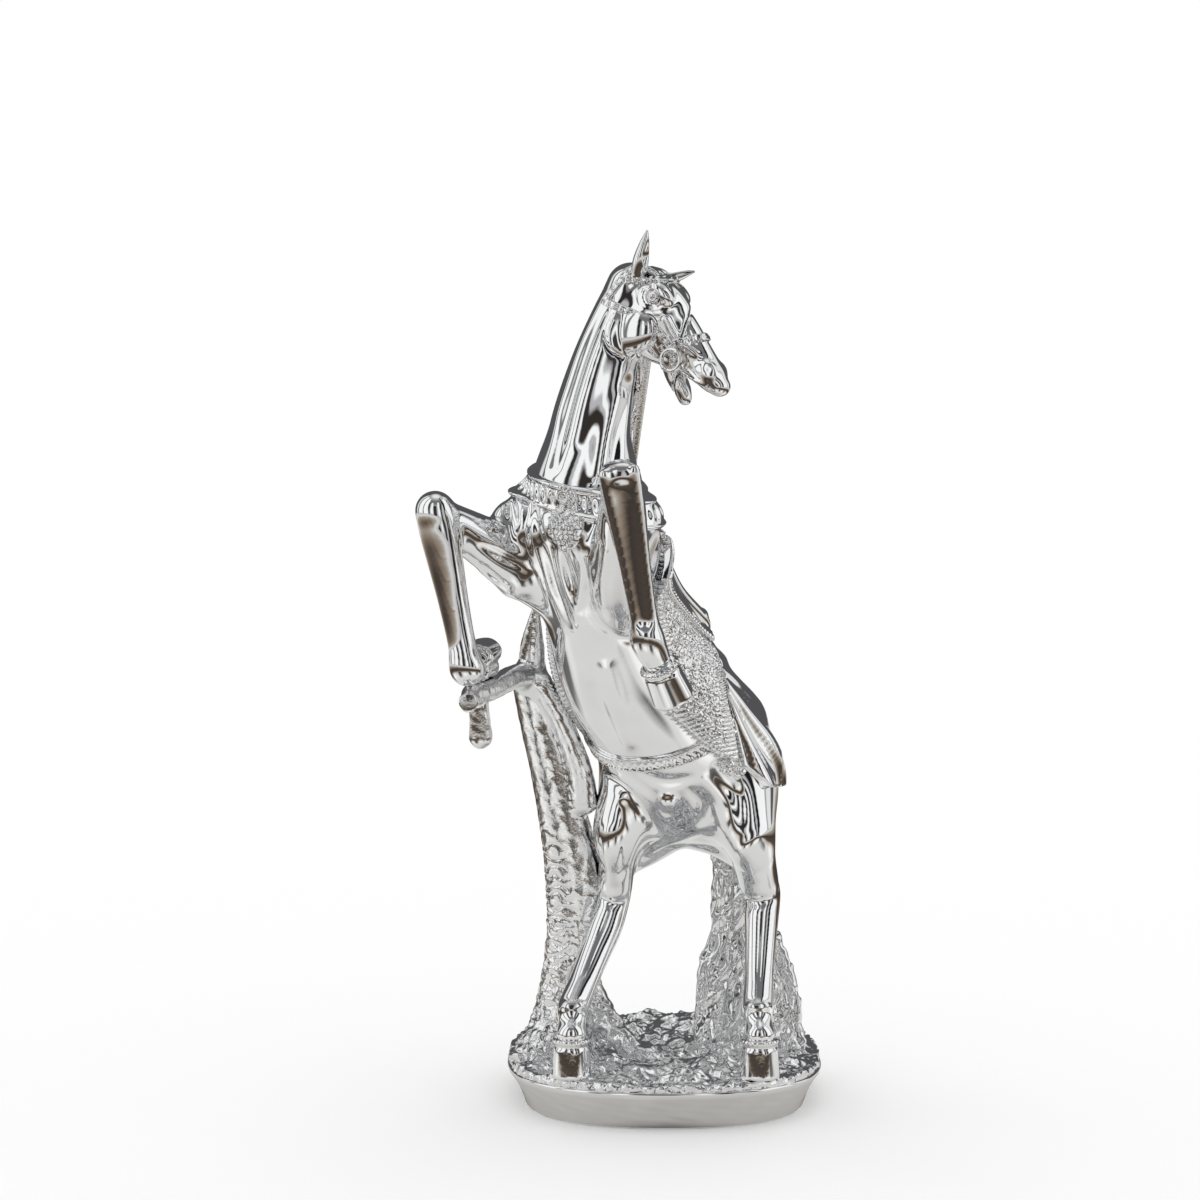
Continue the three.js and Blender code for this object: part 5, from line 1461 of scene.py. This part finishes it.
for place, radii, height in CHEST_LOBES:
    lobe(body_grid, place, radii, height)
for route in CHEST_HOLLOWS:
    groove(body_grid, route, 2.7, 0.62, 1.8)
for route in CHEST_CRESTS:
    ridge(body_grid, route, 1.8, 0.6, 1.6)
groove(body_grid, FOREARM_HOLLOW, 2.6, 0.5)
groove(body_grid, FOREARM_CREASE, 1.6)
ridge(body_grid, FOREARM_CREST, 1.8)
ridge(body_grid, BELLY_KEEL, 3.4, 0.3, 4)
groove(body_grid, BELLY_HOLLOW, 3.4, 0.28, 4)
for route in THIGH_HOLLOWS:
    groove(body_grid, route, 2.8, 0.5, 3)
for route in THIGH_CRESTS:
    ridge(body_grid, route, 2.5, 0.4, 3)
lobe(body_grid, SHEATH, (4.6, 4.6, 5), 3.4, 2)
groove(body_grid, SHEATH_RIM, 1.3, 0.6, 1)
for route in HOCK_CREASES:
    groove(body_grid, route, 1.7, 0.5, 2)
for route in NECK_HOLLOWS:
    groove(head_grid, route, 3.2, 0.3, 4)
for route in NECK_CRESTS:
    ridge(head_grid, route, 2.6, 0.3, 4)
groove(head_grid, CHEEK_CREASE, 1.2, 0.55, 1)
for route in JAW_CREASES:
    groove(head_grid, route, 1.0, 0.5, 0.9)
lobe(head_grid, CHEEK_PLATE, (10.5, 9.5, 5), 3.0, 1.5, vec(-0.6, -0.78, 0.12))
ridge(head_grid, NOSTRIL_RIM, 1.0, 0.5, 0.8)

# The flesh itself, after everything that lies on it has read its field
FLESH_NODES = ["torso", "foreleg_right", "foreleg_left", "hind_leg_right", "hind_leg_left"]
body_grid.field = np.maximum(body_grid.field, -neck_stump(body_grid, 1.0))
surface("horse_body", body_grid, FLESH_NODES, POLISHED, 6, 3)
head_grid.field = np.maximum(head_grid.field, neck_stump(head_grid, -3.0))
surface("horse_neck_and_head", head_grid, ["neck", "head", "lower_jaw"], POLISHED, 4, 1)


# The solids themselves wear the plating of their slots
slot_of = {part["node"]: part["material_slot"] for part in frame["record"]["subparts"]}
for node, obj in frame["nodes"].items():
    obj.data.materials.clear()
    obj.data.materials.append(SLOTS[slot_of.get(node, POLISHED)])


# Stage: white floor and background, and a tent and table that only reflections see
def flat_material(name, colour):
    material = new_material(name)
    shader = material.node_tree.nodes["Principled BSDF"]
    shader.inputs["Base Color"].default_value = (*colour, 1)
    shader.inputs["Roughness"].default_value = 0.9
    shader.inputs["Specular IOR Level"].default_value = 0
    return material


def soft_step(value, edge, width):
    return np.clip((value - edge) / width + 0.5, 0, 1)


def patch(az, el, left_edge, right_edge, low, high, soft):
    """A soft-edged rectangle in the tent, in degrees seen from the object."""
    sides = soft_step(az, left_edge, soft) * soft_step(-az, -right_edge, soft)
    return sides * soft_step(el, low, soft) * soft_step(-el, -high, soft)


def tent_colours(az, el):
    """Tones at headings (0 the front, 90 the viewer's right) and heights (0 the horizon), in degrees."""
    grey = 0.34 + 0.22 * np.clip(el / 90, 0, 1)
    colour = np.repeat(grey[:, None], 3, axis=1)
    for left_edge, right_edge, low, high, soft, tone in TENT_PATCHES:
        share = patch(az, el, left_edge, right_edge, low, high, soft)[:, None]
        colour = colour * (1 - share) + np.array(tone) * share
    return colour


# Patches of the tent: left and right edge, lower and upper edge, softness, tone or grey
TENT_PATCHES = [
    (-60, 56, -8, 34, 10, (0.5, 0.5, 0.51)),
    (-60, 56, 34, 64, 14, (0.17, 0.17, 0.175)),
    (-12, 5, -8, 30, 4, (0.035, 0.03, 0.027)),
    (-26, -15, -2, 42, 3, 1.0),
    (-43, -33, -8, 46, 3, (0.03, 0.028, 0.027)),
    (12, 22, -2, 46, 3, 1.0),
    (26, 36, -8, 42, 3, (0.045, 0.042, 0.04)),
    (46, 60, -12, 75, 4, (0.012, 0.012, 0.015)),
    (-104, -44, -12, 62, 4, 1.0),
    (-75, -68, -12, 70, 3, 0.2),
    (60, 98, -12, 58, 4, 1.0),
    (-112, -104, -8, 70, 4, 0.1),
    (-124, -112, -8, 60, 4, 0.8),
    (104, 124, -8, 60, 4, 0.8),
    (-200, -126, -8, 66, 5, (0.09, 0.09, 0.095)),
    (126, 200, -8, 66, 5, (0.09, 0.09, 0.095)),
    (-180, 180, 76, 100, 6, 0.85),
]

# Dark and bright wedges of the table, in millimetres from the middle: edges in degrees, and brightness
WEDGES_FROM, WEDGES_TO = 240, 460
TABLE_WEDGES = [
    (-52, -34, 0.12), (-24, -6, 1.3), (8, 24, 0.12), (34, 56, 1.3), (62, 80, 0.2),
    (-96, -72, 1.3), (-126, -104, 0.2), (100, 124, 1.3), (140, 166, 0.2),
]

# Bands of the table round the object: how far out each starts, in metres, and its tone; the dark bands next
# to the plinth are a painted shadow at its foot, as the metal mirrors it
TABLE_BANDS_AND_FOOT_SHADOW = [
    # The first bands, dark next to the plinth and lightening outwards, are a painted shadow of the object at
    # its foot
    (0.05, (0.03, 0.03, 0.03)),
    (0.0635, (0.1, 0.1, 0.095)),
    (0.067, (0.42, 0.405, 0.385)),
    (0.085, (0.58, 0.565, 0.54)),
    (0.13, (0.7, 0.695, 0.68)),
    (0.34, (0.78, 0.775, 0.765)),
    (0.42, (0.55, 0.51, 0.46)),
    (0.52, (0.09, 0.07, 0.055)),
    (0.78, (0.05, 0.04, 0.035)),
    (1.0, (0.26, 0.205, 0.155)),
    (1.3, (0.42, 0.39, 0.35)),
    (1.6, (0.7, 0.69, 0.67)),
    (2.3, (0.62, 0.61, 0.6)),
    (3.3, (0.4, 0.4, 0.4)),
]


def glowing(name, points, faces, tones):
    """A panel that shows its own tones, to reflections only."""
    mesh = bpy.data.meshes.new(name)
    mesh.from_pydata([tuple(p) for p in points], [], faces)
    layer = mesh.color_attributes.new("tone", "FLOAT_COLOR", "POINT")
    colours = np.column_stack([tones, np.ones(len(points))])
    layer.data.foreach_set("color", colours.astype(np.float32).ravel())
    material = new_material(name)
    tree = material.node_tree
    tree.nodes.clear()
    tone = tree.nodes.new("ShaderNodeAttribute")
    tone.attribute_name = "tone"
    glow = linked_node(tree, "ShaderNodeEmission", {"Color": tone.outputs["Color"]}, {})
    linked_node(tree, "ShaderNodeOutputMaterial", {"Surface": glow.outputs["Emission"]}, {})
    mesh.materials.append(material)
    obj = placed(name, mesh)
    obj.visible_camera = False
    obj.visible_diffuse = False
    obj.visible_shadow = False


def quad_faces(rows, columns):
    starts = [r * (columns + 1) + c for r in range(rows) for c in range(columns)]
    return [(k, k + 1, k + columns + 2, k + columns + 1) for k in starts]


def tent():
    """A shell of light and dark panels around the object."""
    columns, rows, radius, centre_height = 300, 70, 3.2, 0.22
    az, el = np.meshgrid(np.linspace(-180, 180, columns + 1), np.linspace(-4, 90, rows + 1))
    az, el = az.ravel(), el.ravel()
    turn, rise = np.radians(az), np.radians(el)
    points = np.column_stack([
        radius * np.sin(turn) * np.cos(rise),
        -radius * np.cos(turn) * np.cos(rise),
        centre_height + radius * np.sin(rise),
    ])
    glowing("studio_tent", points, quad_faces(rows, columns), tent_colours(az, el))


def table():
    """The studio's table as the metal mirrors it: a painted shadow dark at the plinth's foot, light near the
    object, dark further out.
    """
    columns = 180
    spans = [(0.05, 0.09, 21), (0.11, 1.0, 40), (1.1, 3.3, 14)]
    radii = np.concatenate([np.linspace(*span) for span in spans])
    starts = [band[0] for band in TABLE_BANDS_AND_FOOT_SHADOW]
    turn, reach = np.meshgrid(np.linspace(-math.pi, math.pi, columns + 1), radii)
    turn, reach = turn.ravel(), reach.ravel()
    lift = np.full(len(turn), 0.0006)
    points = np.column_stack([0.97 * reach * np.sin(turn), -1.03 * reach * np.cos(turn), lift])
    channels = zip(*(tone for _, tone in TABLE_BANDS_AND_FOOT_SHADOW))
    # The tones of the bands, with the painted shadow next to the plinth
    tones = np.column_stack([np.interp(reach, starts, values) for values in channels])
    heading = np.degrees(turn)
    for left_edge, right_edge, share in TABLE_WEDGES:
        inside = patch(heading, reach / MM, left_edge, right_edge, WEDGES_FROM, WEDGES_TO, 6)
        inside = inside * np.clip((reach - 0.22) / 0.08, 0, 1)
        tones = tones * (1 + (share - 1) * inside[:, None])
    glowing("studio_table_and_painted_shadow", points, quad_faces(len(radii) - 1, columns), tones)


tent()
table()

FLOOR_SIZE, SENSOR_WIDTH = 12, 36
bpy.ops.mesh.primitive_plane_add(size=FLOOR_SIZE, location=(0, 0, 0))
floor = bpy.context.object
floor.name = "floor"
floor.data.materials.append(flat_material("floor_white", (1.0, 1.0, 1.0)))

world = bpy.data.worlds.new("studio")
bpy.context.scene.world = world
world.use_nodes = True
background = world.node_tree.nodes["Background"]
background.inputs["Color"].default_value = (1, 1, 1, 1)
background.inputs["Strength"].default_value = 1.0

camera_data = bpy.data.cameras.new("camera")
camera = placed("camera", camera_data)
bpy.context.scene.camera = camera
camera.location = SIGHT_FROM * MM
camera.rotation_euler = (math.radians(90) - SIGHT_RISE, 0, 0)
camera_data.sensor_width = SENSOR_WIDTH
camera_data.lens = SENSOR_WIDTH * VIEW_FOCUS / VIEW_SIZE
camera_data.clip_start = 0.05

bpy.context.scene.view_settings.view_transform = "Standard"
